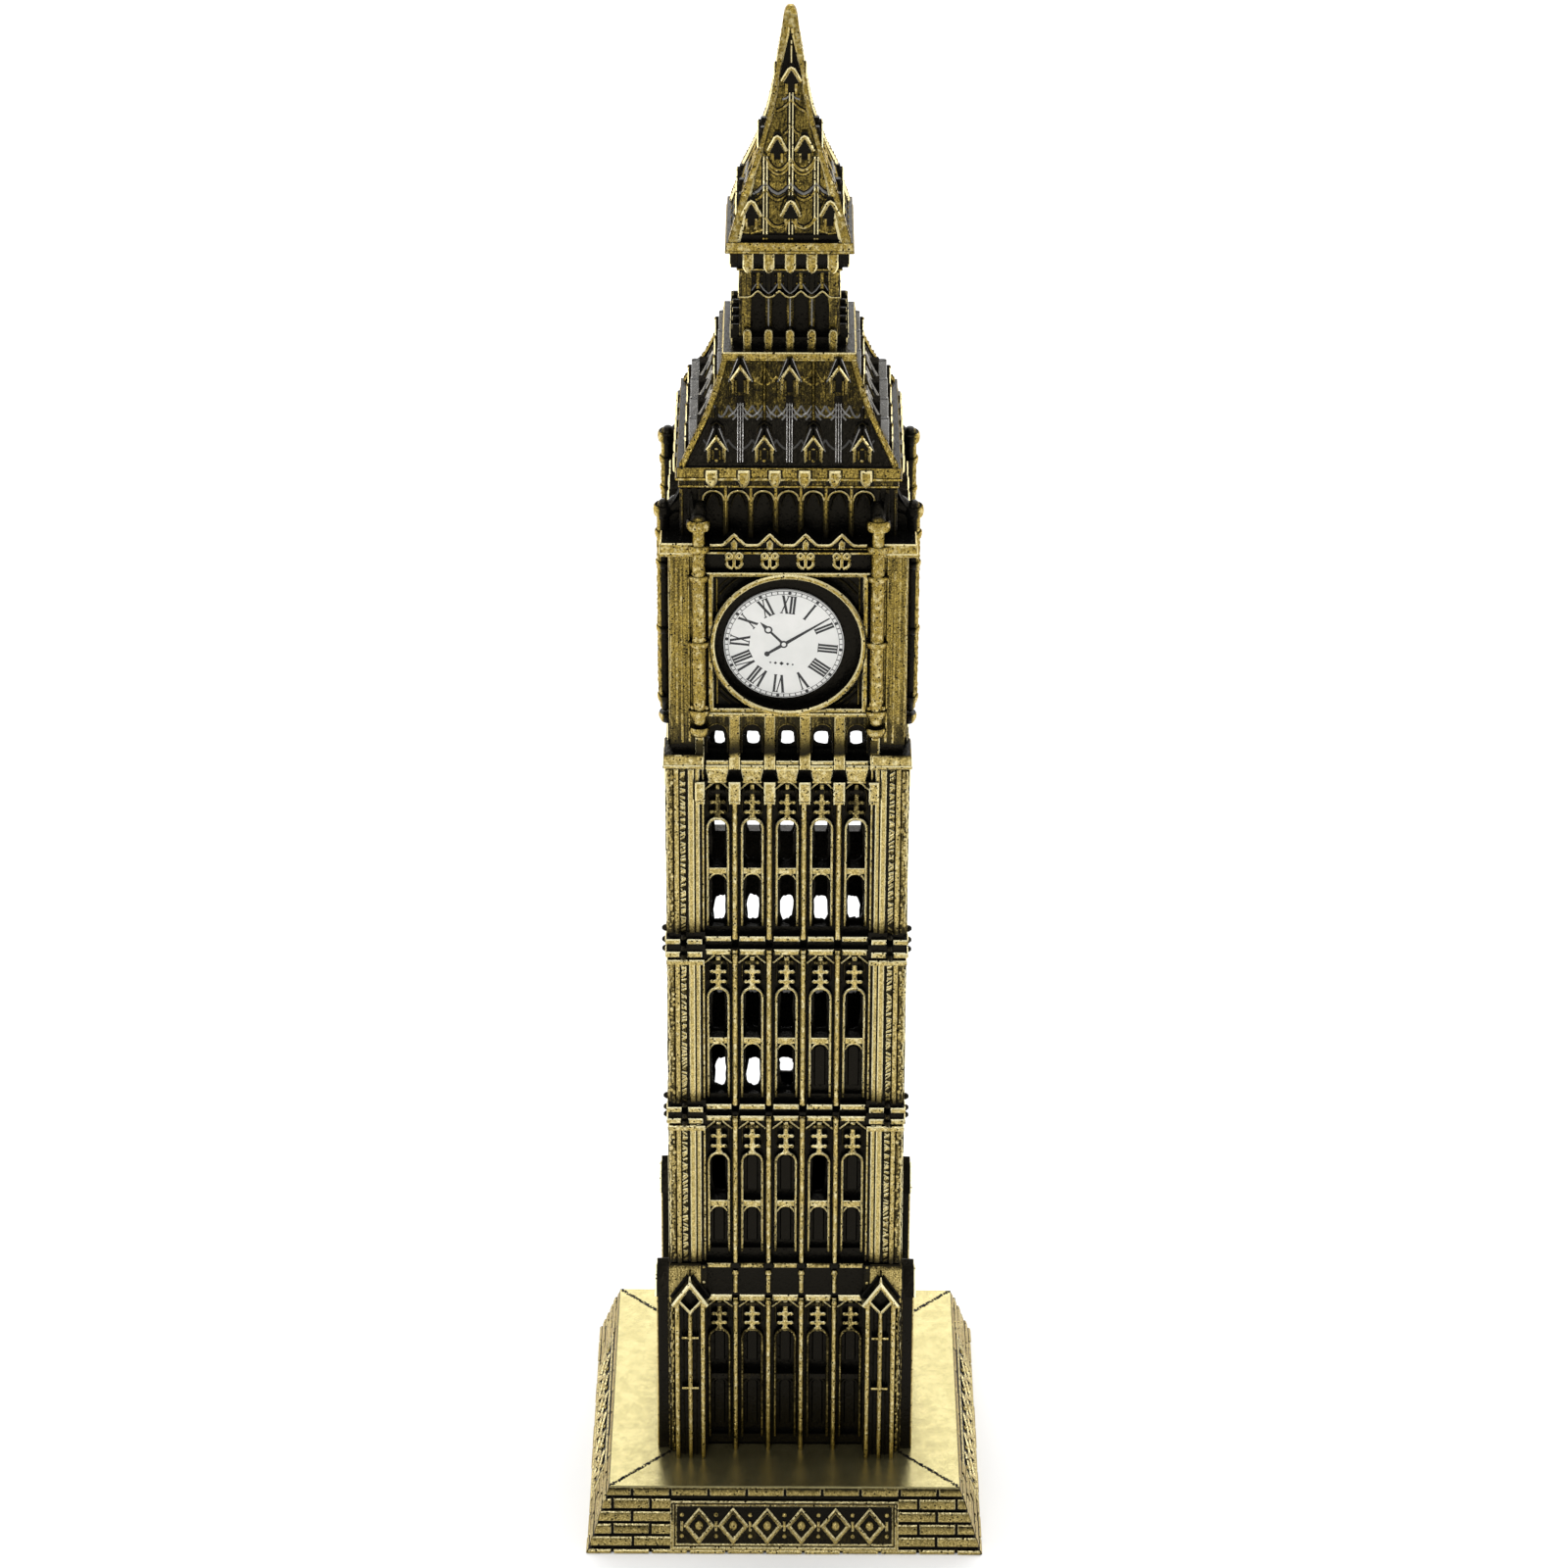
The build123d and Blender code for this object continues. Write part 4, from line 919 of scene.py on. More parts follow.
for x in LX:
    w = 0.42
    pts = arch(x, 2 * w, 143.9, 146.35, n=8)
    plate(pts, 4.2, 6.15, c=0.14, t=0.02, lo=5.3, tone=0.62)
    band([(x - w + 0.06, 144.9), (x - w + 0.06, 145.9), (x - 0.22, 146.18), (x, 146.28), (x + 0.22, 146.18), (x + w - 0.06, 145.9), (x + w - 0.06, 144.9)], 0.12, 5.4, 6.24, c=0.04, t=0.0, lo=5.6, tone=0.8)
slab_box(-5.3, 5.3, 143.9, 145.2, 4.2, 5.4, tone=0.03)
# corbel table and rim
zone(lo=5.0)
profile_x([(4.0, 152.3), (5.15, 152.4), (5.25, 152.75), (5.75, 153.5), (6.05, 154.3), (6.1, 155.1), (4.0, 155.1)], -7.5, 7.5, tone=0.06, lo=6.2, hi=7.0)
rod((-7.5, 152.85), (7.5, 152.85), 0.22, 4.8, 5.55, lo=5.0, tone=0.8)
for x in LX:
    xx = x * 0.985
    plate([(xx - 0.56, 155.0), (xx - 0.56, 153.35), (xx - 0.3, 152.85), (xx, 152.68), (xx + 0.3, 152.85), (xx + 0.56, 153.35), (xx + 0.56, 155.0)], 4.6, 6.28, c=0.15, lo=5.6, tone=0.92)
for s in (-1, 1):
    plate([(s * 5.4, 155.0), (s * 5.4, 153.9), (s * 5.8, 153.7), (s * 7.0, 153.7), (s * 7.0, 155.0)], 4.6, 6.2, c=0.1, lo=5.8, tone=0.2)
box(-8, 8, 155.2, 156.25, 4.2, 6.62, c=0.12, lo=5.9, tone=0.88)
rod((-8, 155.25), (8, 155.25), 0.34, 5.6, 6.76, n=5, lo=6.0, tone=1.0)
rod((-8, 156.2), (8, 156.2), 0.2, 5.4, 6.64, n=5, lo=6.0, tone=0.9)


# ------------------------------------------------------------------ 9. spire
def on_spire(z, k=0.0):
    return spire_ridge(z) - min(0.46, 0.3 + 0.02 * max(0.0, 176 - z)) + k


zone(lo=0.0, tone=0.7)
# coloured facing of the spire: olive-gold, black only at the foot, with painted shade round and under the dormers
rows = []
for z in (157.1, 158.4, 160.9, 163.2, 165.6, 168.0, 170.5, 172.5):
    b = on_spire(z)
    rows.append([(-b - 0.6, z, b - 0.5), (b + 0.6, z, b - 0.5), (b + 0.6, z, b + 0.02), (-b - 0.6, z, b + 0.02)])
rings(rows, 2, (0, 0), tone=0.5, **DARK)
for s in (-1, 1):
    rows = []
    for z in (156.1, 158.4, 160.9, 163.2, 165.6, 168.0, 170.5, 173.0, 175.5, 177.3, 178.6, 179.4, 179.85, 180.0):
        r_ = spire_ridge(z)
        w = max(min(0.62, r_ * 0.46), r_ - max(0.02, (177.4 - z) * 0.24)) if z < 177.8 else r_ * 0.98
        if z > 179.3:
            r_ = {179.4: 0.5, 179.85: 0.34, 180.0: 0.12}[z]
            w = r_ * 0.98
        b = max(r_ - 1.2, 0.0)
        rows.append([(s * (r_ - w), z, b), (s * (r_ + 0.5), z, b), (s * (r_ + 0.5), z, r_), (s * (r_ - w * 0.72), z, r_), (s * (r_ - w * 0.96), z, max(r_ - 0.2, b + 0.02))])
    rings(rows, [[0, 0, 2, 1, 0]] * (len(rows) - 1), (0, 0), tone=0.95, fade=2.0, lo=-4.0, hi=-3.0)
rings([[(-w_, z, 0.02), (w_, z, 0.02), (w_, z, w_), (-w_, z, w_)] for z, w_ in ((177.3, 0.3), (177.8, 0.84), (178.4, 0.8), (179.2, 0.66), (179.65, 0.48), (179.9, 0.28), (180.0, 0.1))], 2, (2, 2), tone=0.95, fade=2.0, lo=-4.0, hi=-3.0)
for x, za, zb, t in ((0.1, 157.0, 171.0, 0.8), (-2.55, 157.0, 164.6, 0.75), (2.75, 157.0, 164.6, 0.75)):
    for k in (-0.17, 0.17):
        slope_rib(x + k, za, zb, 0.22, 0.2, on_spire, tone=min(1.0, t + 0.2), steps=10, **DARK)
slope_rib(0.1, 173.6, 176.4, 0.2, 0.12, on_spire, tone=0.8, steps=4, **DARK)
chevrons(170.2, 1.15, 1.45, (0.1,), on_spire, tone=0.95, w=0.24, rise=0.26, outline=0.26, **DARK)
# negative gloss: grey metal chevron on black, a painted reflection
chevrons(170.75, 0.5, 0.9, (0.1,), on_spire, tone=0.0, gloss=-0.6, **DARK)
scallops(164.4, 1.15, (-2.45, 0.1, 2.65), on_spire, w=0.26, rise=0.24, tone=0.95, outline=0.26, **DARK)
scallops(163.85, 1.0, (-2.4, 0.1, 2.6), on_spire, w=0.2, rise=0.2, tone=0.75, outline=0.26, **DARK)
chevrons(167.5, 0.75, 0.8, (0.1,), on_spire, w=0.2, rise=0.22, tone=0.8, outline=0.26, **DARK)
scallops(161.5, 1.1, (-4.6, -2.55, 0.1, 2.75, 4.7), on_spire, w=0.24, rise=0.22, tone=0.6, outline=0.26, **DARK)
# negative gloss: grey metal chevrons on black, a painted reflection
chevrons(162.0, 1.0, 1.3, (-2.55, 0.1, 2.75), on_spire, w=0.22, rise=0.24, tone=0.0, gloss=-0.5, outline=0.26, **DARK)
scallops(158.7, 1.05, (-2.55, 0.1, 2.75), on_spire, w=0.28, rise=0.26, tone=1.0, outline=0.26, **DARK)
slope_band([(-5.6, 157.3), (-4.0, 157.0), (-2.6, 157.5)], 0.18, 0.12, on_spire, tone=0.7, **DARK)
slope_band([(5.7, 157.3), (4.1, 157.0), (2.8, 157.5)], 0.18, 0.12, on_spire, tone=0.7, **DARK)
slab_box(-6.4, 6.4, 156.0, 156.95, 5.0, 6.0, tone=0.0, **DARK)
for k in (-2.7, -2.4, -0.05, 0.25, 2.6, 2.9):
    knob(k, 156.55, 6.05, 0.16, 0.18, 0.16, n=8, m=4, tone=0.8, **DARK)


def spire_dormer(x, apex, foot, base, half, d0, d1, dark=True, open_=False):
    # dark=True adds two black plates behind the dormer, between its posts and in a wider halo round it: painted shade
    if dark:
        plate([(x - half * 0.66, base - 0.1), (x + half * 0.66, base - 0.1), (x + half * 0.78, foot + 0.1), (x, apex - 0.3), (x - half * 0.78, foot + 0.1)], d0, d1 - 0.13, c=0.02, t=0.0, tone=0.0, **DARK)
        plate([(x - half * 1.12, foot - 0.3), (x + half * 1.12, foot - 0.3), (x + half * 0.3, apex + 0.35), (x - half * 0.3, apex + 0.35)], d0, d1 - 0.33, c=0.08, t=0.02, tone=0.0, **DARK)
    band([(x - half, foot), (x - half * 0.25, apex - 0.28), (x, apex - 0.14), (x + half * 0.25, apex - 0.28), (x + half, foot)], 0.42, d0, d1 + 0.04, c=0.13, t=0.0, lo=d1 - 0.7, hi=d1 - 0.05, tone=1.0)
    for s in (-1, 1):
        knob(x + s * half * 0.98, foot, d1 - 0.3, 0.21, 0.2, 0.36, n=8, m=4, lo=d1 - 0.7, tone=1.0)
        rod((x + s * half * 0.52, base), (x + s * half * 0.52, foot - 0.25), 0.34, d0, d1 + 0.02, n=5, lo=d1 - 0.5, tone=1.0)


spire_dormer(0.1, 173.72, 172.2, 170.85, 0.95, 0.2, 1.72)
for x in (-1.32, 1.5):
    spire_dormer(x, 166.85, 165.2, 163.95, 0.92, 1.2, 3.4)
for x in (-4.0, 0.1, 4.2):
    spire_dormer(x, 160.55, 158.85, 157.4, 0.98, 3.4, 5.64)
    slope_band([(x - 1.15, 159.3), (x - 0.5, 161.0), (x, 161.4), (x + 0.5, 161.0), (x + 1.15, 159.3)], 0.14, 0.25, on_spire, tone=0.3, **DARK)
    band([(x - 0.62, 158.4), (x - 0.5, 157.6), (x, 157.25), (x + 0.5, 157.6), (x + 0.62, 158.4)], 0.22, 3.6, 5.6, c=0.08, t=0.0, lo=5.0, tone=0.9)
for x in (-1.32, 1.5):
    band([(x - 0.62, 164.8), (x - 0.5, 164.0), (x, 163.75), (x + 0.5, 164.0), (x + 0.62, 164.8)], 0.18, 1.6, 3.3, c=0.06, t=0.0, lo=2.7, tone=0.5)

# ------------------------------------------------------------------ 9b. metal squeezed out along the corner seams
def seam(z0, z1, line, seed, step=0.36, tone=0.85, gloss=0.0):
    r = random.Random(seed)
    for s in (-1, 1):
        z, pts = z0, []
        while z < z1:
            pts.append((s * (line(z) - 0.13 + r.uniform(-0.1, 0.06)), z))
            z += step * r.uniform(0.6, 1.4)
        for a in range(0, len(pts) - 2, 7):
            run = pts[a:a + 8]
            if len(run) > 2:
                d = line((run[0][1] + run[-1][1]) / 2) + r.uniform(0.02, 0.1)
                band(run, r.uniform(0.1, 0.2), d - 0.5, d, c=0.04, t=0.0, lo=d - 0.3, hi=d - 0.02, tone=tone, gloss=gloss)


zone(fade=1.0)
seam(9.0, 28.6, curve([(0, 13.2), (200, 13.2)]), 201, tone=0.7)
seam(34.0, 52.0, curve([(0, 13.2), (200, 13.2)]), 202)
seam(55.6, 73.2, curve([(0, 13.2), (200, 13.2)]), 203)
seam(77.4, 97.8, curve([(0, 13.2), (200, 13.2)]), 204)
seam(101.2, 123.4, curve([(0, 12.66), (200, 12.66)]), 205, tone=0.75)
seam(125.2, 130.4, curve([(0, 11.4), (200, 11.4)]), 206, tone=0.3)


def beads(z0, z1, line, seed, tone, size=1.0):
    r = random.Random(seed)
    for s in (-1, 1):
        z = z0
        while z < z1:
            d = line(z)
            knob(s * (d - 0.1 + r.uniform(-0.12, 0.03)), z, d - 0.05, size * r.uniform(0.08, 0.15), size * r.uniform(0.14, 0.34), size * r.uniform(0.09, 0.15), n=6, m=4, lo=d - 0.4, hi=d, tone=tone)
            z += size * r.uniform(0.25, 0.7)


beads(133.2, 142.9, roof_ridge, 207, 0.9)
seam(144.4, 152.2, curve([(0, 5.2), (200, 5.2)]), 208, tone=0.35)
beads(156.8, 177.0, spire_ridge, 209, 1.0, 0.8)
# the seams across the base top
r = random.Random(77)
for s in (-1, 1):
    d = 12.4
    while d < 20.2:
        knob(s * (d - 0.1 + r.uniform(-0.12, 0.02)), 7.7, d, r.uniform(0.1, 0.2), r.uniform(0.04, 0.09), r.uniform(0.1, 0.24), n=7, m=4, lo=40, hi=41, tone=0.0)
        d += r.uniform(0.12, 0.34)
zone(fade=1.0)

# ------------------------------------------------------------------ 10. cutters
zone(lo=14.0, tone=0.0)
for i, x in enumerate(BAYS):
    for z0, z1 in ((85.08, 91.06), (77.4, 84.22), (63.38, 69.6), (55.75, 62.45), (41.78, 47.95)):
        plate(arch(x, 2.02, z0, z1), 9.0, 13.6, c=0.0, t=0.0, to="cut", hi=16.0)
    for z0, z1 in ((35.0, 40.86), (17.92, 23.95), (9.0, 17.05)):
        plate(arch(x, 2.02, z0, z1), 11.05, 13.6, c=0.0, t=0.0, to="cut", hi=16.0)
    plate(arch(x - 0.02, 2.1, 98.75, 102.98), 11.1, 14.0, c=0.0, t=0.0, to="cut", hi=16.0)
    plate(arch(x - 0.02, 2.0, 99.3, 102.9), 9.0, 11.5, c=0.0, t=0.0, to="cut", hi=16.0)
plate(oval(0, 112.82, 7.86, n=72), 11.5, 14.5, c=0.0, t=0.0, to="cut", hi=16.0)
for x in PX:
    plate(arch(x, 1.5, 145.3, 149.45), 4.3, 5.6, c=0.0, t=0.0, to="cut", hi=16.0)


# ------------------------------------------------------------------ 11. casting flash, different on each wall
def web(x, w, z0, z1, d0, d1, r, hole=(0.62, 0.75), to="web", zh=None):
    """A ragged web left round a light, open in the middle, or from zh[0] up to zh[1]."""
    n = 28
    zc, h = (z0 + z1) / 2, (z1 - z0) / 2
    hc, hh = (zc, h * hole[1]) if zh is None else ((zh[0] + zh[1]) / 2, (zh[1] - zh[0]) / 2)
    outer_, inner_ = [], []
    ph = r.uniform(0, 6)
    for i in range(n):
        a = 2 * math.pi * i / n
        ca, sa = math.cos(a), math.sin(a)
        k = 1 / max(abs(ca), abs(sa))
        outer_.append((x + ca * k * (w / 2 + 0.12), zc + sa * k * (h + 0.12)))
        rr = 1 + 0.07 * math.sin(2 * a + ph) + 0.06 * math.sin(3 * a + 2 * ph) + r.uniform(-0.09, 0.07)
        q = 3.2 if zh and zh[1] > 99 else 4.5
        k2 = 1 / ((abs(ca) ** q + abs(sa) ** q) ** (1 / q))
        inner_.append((x + ca * k2 * w / 2 * hole[0] * rr, hc + sa * k2 * hh * (0.5 * rr + 0.5)))
    holed(outer_, inner_, d0, d1, tone=0.0, lo=20, hi=21, to=to)


def membrane(x, w, z0, z1, d1, to, tone=0.07, pad=True):
    plate(rect(x - w / 2 - 0.1, x + w / 2 + 0.1, z0 - 0.1, z1 + 0.05), d1 - 0.4, d1, c=0.02, t=0.0, lo=0, hi=1, tone=0.0, to=to)
    if pad:
        plate(arch(x, w * 0.62, z0 + 0.9, z1 - 0.55), d1 - 0.2, d1 + 0.16, c=0.1, t=0.06, lo=0, hi=1, tone=tone, gloss=0.3, to=to)


WALLS = {
    "front": dict(closed={("B2", 3), ("B2", 4), ("C1", 1), ("C1", 2), ("C1", 4)}, seed=5),
    "rear": dict(closed={("C1", 0), ("C1", 1)}, seed=9),
    "right": dict(closed={("A2", 1), ("B1", 3), ("B2", 0), ("C1", 0), ("C1", 2), ("C1", 3), ("C1", 4)}, seed=13),
    "left": dict(closed={("B1", 0), ("B2", 2), ("B2", 3), ("C1", 1), ("C1", 3), ("C1", 4)}, seed=17),
}
LIGHTS = {"A1": (85.08, 91.06), "A2": (77.4, 84.22), "B1": (63.38, 69.6), "B2": (55.75, 62.45), "C1": (41.78, 47.95), "ARC": (99.2, 102.95)}
for wall, spec in WALLS.items():
    r = random.Random(spec["seed"])
    for light, (z0, z1) in LIGHTS.items():
        for i, x in enumerate(BAYS):
            to = f"web_{wall}"
            if (light, i) in spec["closed"]:
                membrane(x, 2.02, z0, z1, 11.2, to, tone=0.09)
            elif light == "ARC":
                web(x - 0.02, 2.0, z0, z1, 10.3, 10.6, r, (0.8, 0.86), to, zh=(99.55, 101.2))
            elif wall == "rear" and light == "B1":
                web(x, 2.02, z0, z1, 10.25, 10.5, r, (0.8, 0.9), to, zh=(63.9, 68.95))
            elif wall == "rear" and light == "C1":
                web(x, 2.02, z0, z1, 10.25, 10.5, r, (0.8, 0.9), to, zh=(45.2 if i == 2 else 42.4, 47.1))
            elif wall == "rear" and light == "A2":
                web(x, 2.02, z0 - 0.4, z1, 10.25, 10.5, r, (0.8, 0.985), to, zh=(77.0, 83.9))
            else:
                web(x, 2.02, z0, z1, 10.25, 10.5, r, (0.76, 0.965 if light == "A1" else 0.93), to)
    for i, x in enumerate(BAYS):
        for (z0, z1), t in (((35.0, 40.86), 0.08), ((17.92, 23.95), 0.1), ((9.0, 17.05), 0.05)):
            plate(arch(x, 1.22, z0 + (0.8 if z0 > 20 else 1.3), z1 - 0.5), 10.9, 11.3, c=0.1, t=0.06, lo=0, hi=1, tone=t * r.uniform(0.7, 1.3), gloss=0.3, to=f"web_{wall}")

# ------------------------------------------------------------------ assembly of the meshes
NCLASS = len(K.classes)


def layers(items):
    """Groups solids so that none in a group touches another of it."""
    out = []
    for it in items:
        v = it[0]
        lo, hi = v.min(0) - 0.02, v.max(0) + 0.02
        for g in out:
            if not any((lo < b).all() and (hi > a).all() for a, b in g["boxes"]):
                g["items"].append(it)
                g["boxes"].append((lo, hi))
                break
        else:
            out.append({"items": [it], "boxes": [(lo, hi)]})
    return [g["items"] for g in out]


def as_mesh(items, name):
    vs, fs, ks, off = [], [], [], 0
    for v, f, k in items:
        vs.append(v)
        fs += [tuple(int(i) + off for i in q) for q in f]
        ks += k
        off += len(v)
    me = bpy.data.meshes.new(name)
    me.from_pydata(np.concatenate(vs).tolist(), [], fs)
    a = me.attributes.new("kid", "INT", "FACE")
    a.data.foreach_set("value", np.array(ks, dtype=np.int32))
    me.update()
    return me


def boolean(me_a, me_b, op):
    a = bpy.data.objects.new("a", me_a)
    b = bpy.data.objects.new("b", me_b)
    for o in (a, b):
        bpy.context.scene.collection.objects.link(o)
    m = a.modifiers.new("m", "BOOLEAN")
    m.solver = "MANIFOLD"
    m.operation = op
    m.object = b
    dg = bpy.context.evaluated_depsgraph_get()
    dg.update()
    out = bpy.data.meshes.new_from_object(a.evaluated_get(dg), depsgraph=dg)
    for o in (a, b):
        bpy.data.objects.remove(o)
    return out




# dial: printed disc, numerals and hands as raised ink
zone(lo=0.0, tone=0.0, gloss=0.0, to="dial")
TURN = math.radians(-5.9)
CZ = 112.36


def lathe_d(profile, n, **kw):
    """A turned piece on the dial's axis: profile is (radius, d) from the back forward."""
    rows = [[(r * math.cos(2 * math.pi * i / n), CZ + r * math.sin(2 * math.pi * i / n), d) for i in range(n)] for r, d in profile]
    rings(rows, 2, (0, 2), **kw)


lathe_d([(6.35, 11.5), (6.45, 11.58), (6.47, 11.8), (6.44, 11.88), (6.36, 11.93), (6.2, 11.94)], 96)
INK0, INK1 = 11.7, 11.956


def ink(poly, top=INK1, tone=1.0):
    plate(poly, INK0, top, c=0.004, t=0.0, lo=0, hi=1, tone=tone)


def polar(u, v, a):
    """u along the tangent (clockwise) and v outward, turned to the hour angle a clockwise from the top."""
    return (u * math.cos(a) + v * math.sin(a), CZ + v * math.cos(a) - u * math.sin(a))


def stroke(u0, v0, u1, v1, w, a, tone=1.0, top=INK1):
    e = np.array([u1 - u0, v1 - v0])
    e = e / np.linalg.norm(e)
    m = np.array([-e[1], e[0]]) * w / 2
    ink([polar(p[0], p[1], a) for p in ((u0 + m[0], v0 + m[1]), (u1 + m[0], v1 + m[1]), (u1 - m[0], v1 - m[1]), (u0 - m[0], v0 - m[1]))], tone=tone, top=top)


NUM = ["XII", "I", "II", "III", "IIII", "V", "VI", "VII", "VIII", "IX", "X", "XI"]
WID = {"I": 0.36, "V": 0.95, "X": 0.92}
V0, V1 = 3.68, 5.78
for h, word in enumerate(NUM):
    a = 2 * math.pi * h / 12 - TURN
    total = sum(WID[g] for g in word)
    u = -total / 2
    for g in word:
        w = WID[g]
        m = u + w / 2
        if g == "I":
            stroke(m, V0, m, V1, 0.25, a)
            stroke(m - 0.17, V0 + 0.04, m + 0.17, V0 + 0.04, 0.1, a)
            stroke(m - 0.17, V1 - 0.04, m + 0.17, V1 - 0.04, 0.1, a)
        elif g == "V":
            stroke(m - 0.33, V1, m + 0.02, V0, 0.27, a)
            stroke(m + 0.34, V1, m + 0.02, V0, 0.12, a)
            stroke(m - 0.5, V1 - 0.04, m - 0.16, V1 - 0.04, 0.1, a)
            stroke(m + 0.2, V1 - 0.04, m + 0.48, V1 - 0.04, 0.1, a)
        else:
            stroke(m - 0.3, V1, m + 0.3, V0, 0.27, a)
            stroke(m + 0.3, V1, m - 0.3, V0, 0.12, a)
            for uu in (-0.3, 0.3):
                stroke(m + uu - 0.16, V1 - 0.04, m + uu + 0.16, V1 - 0.04, 0.1, a)
                stroke(m + uu - 0.16, V0 + 0.04, m + uu + 0.16, V0 + 0.04, 0.1, a)
        u += w
    p = polar(0, 6.13, a)
    ink([(p[0] + 0.19 * math.cos(q), p[1] + 0.19 * math.sin(q)) for q in [2 * math.pi * i / 10 for i in range(10)]])
for mnt in range(60):
    if mnt % 5:
        a = 2 * math.pi * mnt / 60 - TURN
        stroke(0, 5.98, 0, 6.28, 0.1, a, tone=0.85)


def ring_ink(x, z, r, w, n, tone=1.0, top=INK1):
    o = [(x + (r + w / 2) * math.cos(2 * math.pi * i / n), z + (r + w / 2) * math.sin(2 * math.pi * i / n)) for i in range(n)]
    q = [(x + (r - w / 2) * math.cos(2 * math.pi * i / n), z + (r - w / 2) * math.sin(2 * math.pi * i / n)) for i in range(n)]
    holed(o, q, INK0, top, lo=0, hi=1, tone=tone)


ring_ink(0, CZ, 5.95, 0.045, 120, 0.8)
ring_ink(0, CZ, 6.32, 0.055, 120, 0.85)
# hands
TOP2 = INK1 + 0.012
am = math.radians(57.4)
ink([polar(p[0], p[1], am) for p in ((-0.14, -1.9), (0.14, -1.9), (0.19, 0.0), (0.07, 5.8), (-0.07, 5.8), (-0.19, 0.0))], top=TOP2)
p = polar(0, -2.12, am)
ink([(p[0] + 0.3 * math.cos(2 * math.pi * i / 14), p[1] + 0.3 * math.sin(2 * math.pi * i / 14)) for i in range(14)], top=TOP2)
ah = math.radians(-43.9)
ink([polar(p[0], p[1], ah) for p in ((-0.14, 0.2), (0.14, 0.2), (0.12, 2.02), (-0.12, 2.02))], top=TOP2)
ink([polar(p[0], p[1], ah) for p in ((-0.24, 2.78), (0.24, 2.78), (0.02, 3.62), (-0.02, 3.62))], top=TOP2)
p = polar(0, 2.39, ah)
ring_ink(p[0], p[1], 0.36, 0.17, 16, top=TOP2)
# small generic ornament under the centre
for u, r_ in ((-1.2, 0.12), (-0.66, 0.17), (0.0, 0.24), (0.66, 0.17), (1.2, 0.12)):
    p = polar(u, 0, -TURN)
    q = polar(u, -2.3, -TURN)
    ink([(q[0] + r_ * math.cos(2 * math.pi * i / 4), q[1] + r_ * math.sin(2 * math.pi * i / 4)) for i in range(4)])
zone(to="dial_top")
ink([(0.42 * math.cos(2 * math.pi * i / 20), CZ + 0.42 * math.sin(2 * math.pi * i / 20)) for i in range(20)], top=TOP2 + 0.01)
plate([(0.24 * math.cos(2 * math.pi * i / 16), CZ + 0.24 * math.sin(2 * math.pi * i / 16)) for i in range(16)], INK0, TOP2 + 0.02, c=0.004, t=0.0, lo=0, hi=1, tone=0.0)


def seam_wedge(seed):
    """The room one casting has between its two mitred seams, with the seams' filed unevenness."""
    r = np.random.default_rng(seed)
    ds = [0.05, 0.4, 0.8, 1.3, 2, 3, 4, 5, 6, 7, 8, 9, 10] + list(np.arange(10.6, 23.6, 0.55))
    zs = list(np.arange(-1.0, 8.6, 0.45)) + list(np.arange(9.0, 180.0, 0.75)) + [181.0]
    nz, nd = len(zs), len(ds)
    gap = {}
    for s in (-1, 1):
        g = r.normal(0, 1, (nz, nd))
        g = (g + np.roll(g, 1, 0) + np.roll(g, 1, 1) + np.roll(np.roll(g, 1, 0), 1, 1)) / 2
        gap[s] = g
    rows = []
    for i, z in enumerate(zs):
        base_ = 0.07 if z < 8.4 else 0.03
        amp = 0.05 if z < 8.4 else 0.018
        left = [(-max(d - max(base_ + amp * gap[-1][i, j], 0.006), 0.002), z, d) for j, d in enumerate(ds)]
        right = [(max(d - max(base_ + amp * gap[1][i, j], 0.006), 0.002), z, d) for j, d in enumerate(ds)]
        rows.append(left + right[::-1])
    zone(lo=0.0, tone=0.0, gloss=0.0, to=f"wedge{seed}")
    rings(rows, 0, (0, 0), lo=0, hi=1, tone=0.0)


for seed in (1, 2, 3, 4):
    seam_wedge(seed)

NCLASS = len(K.classes)
table = np.zeros((NCLASS, 5))
for key, i in K.classes.items():
    table[i] = key


def joined(group, start=None):
    me = start
    for items in layers(K.groups[group]):
        part = as_mesh(items, group)
        me = part if me is None else boolean(me, part, "UNION")
    return me


def normals(me):
    v = np.zeros(len(me.polygons) * 3, np.float32)
    me.polygons.foreach_get("normal", v)
    return v.reshape(-1, 3)


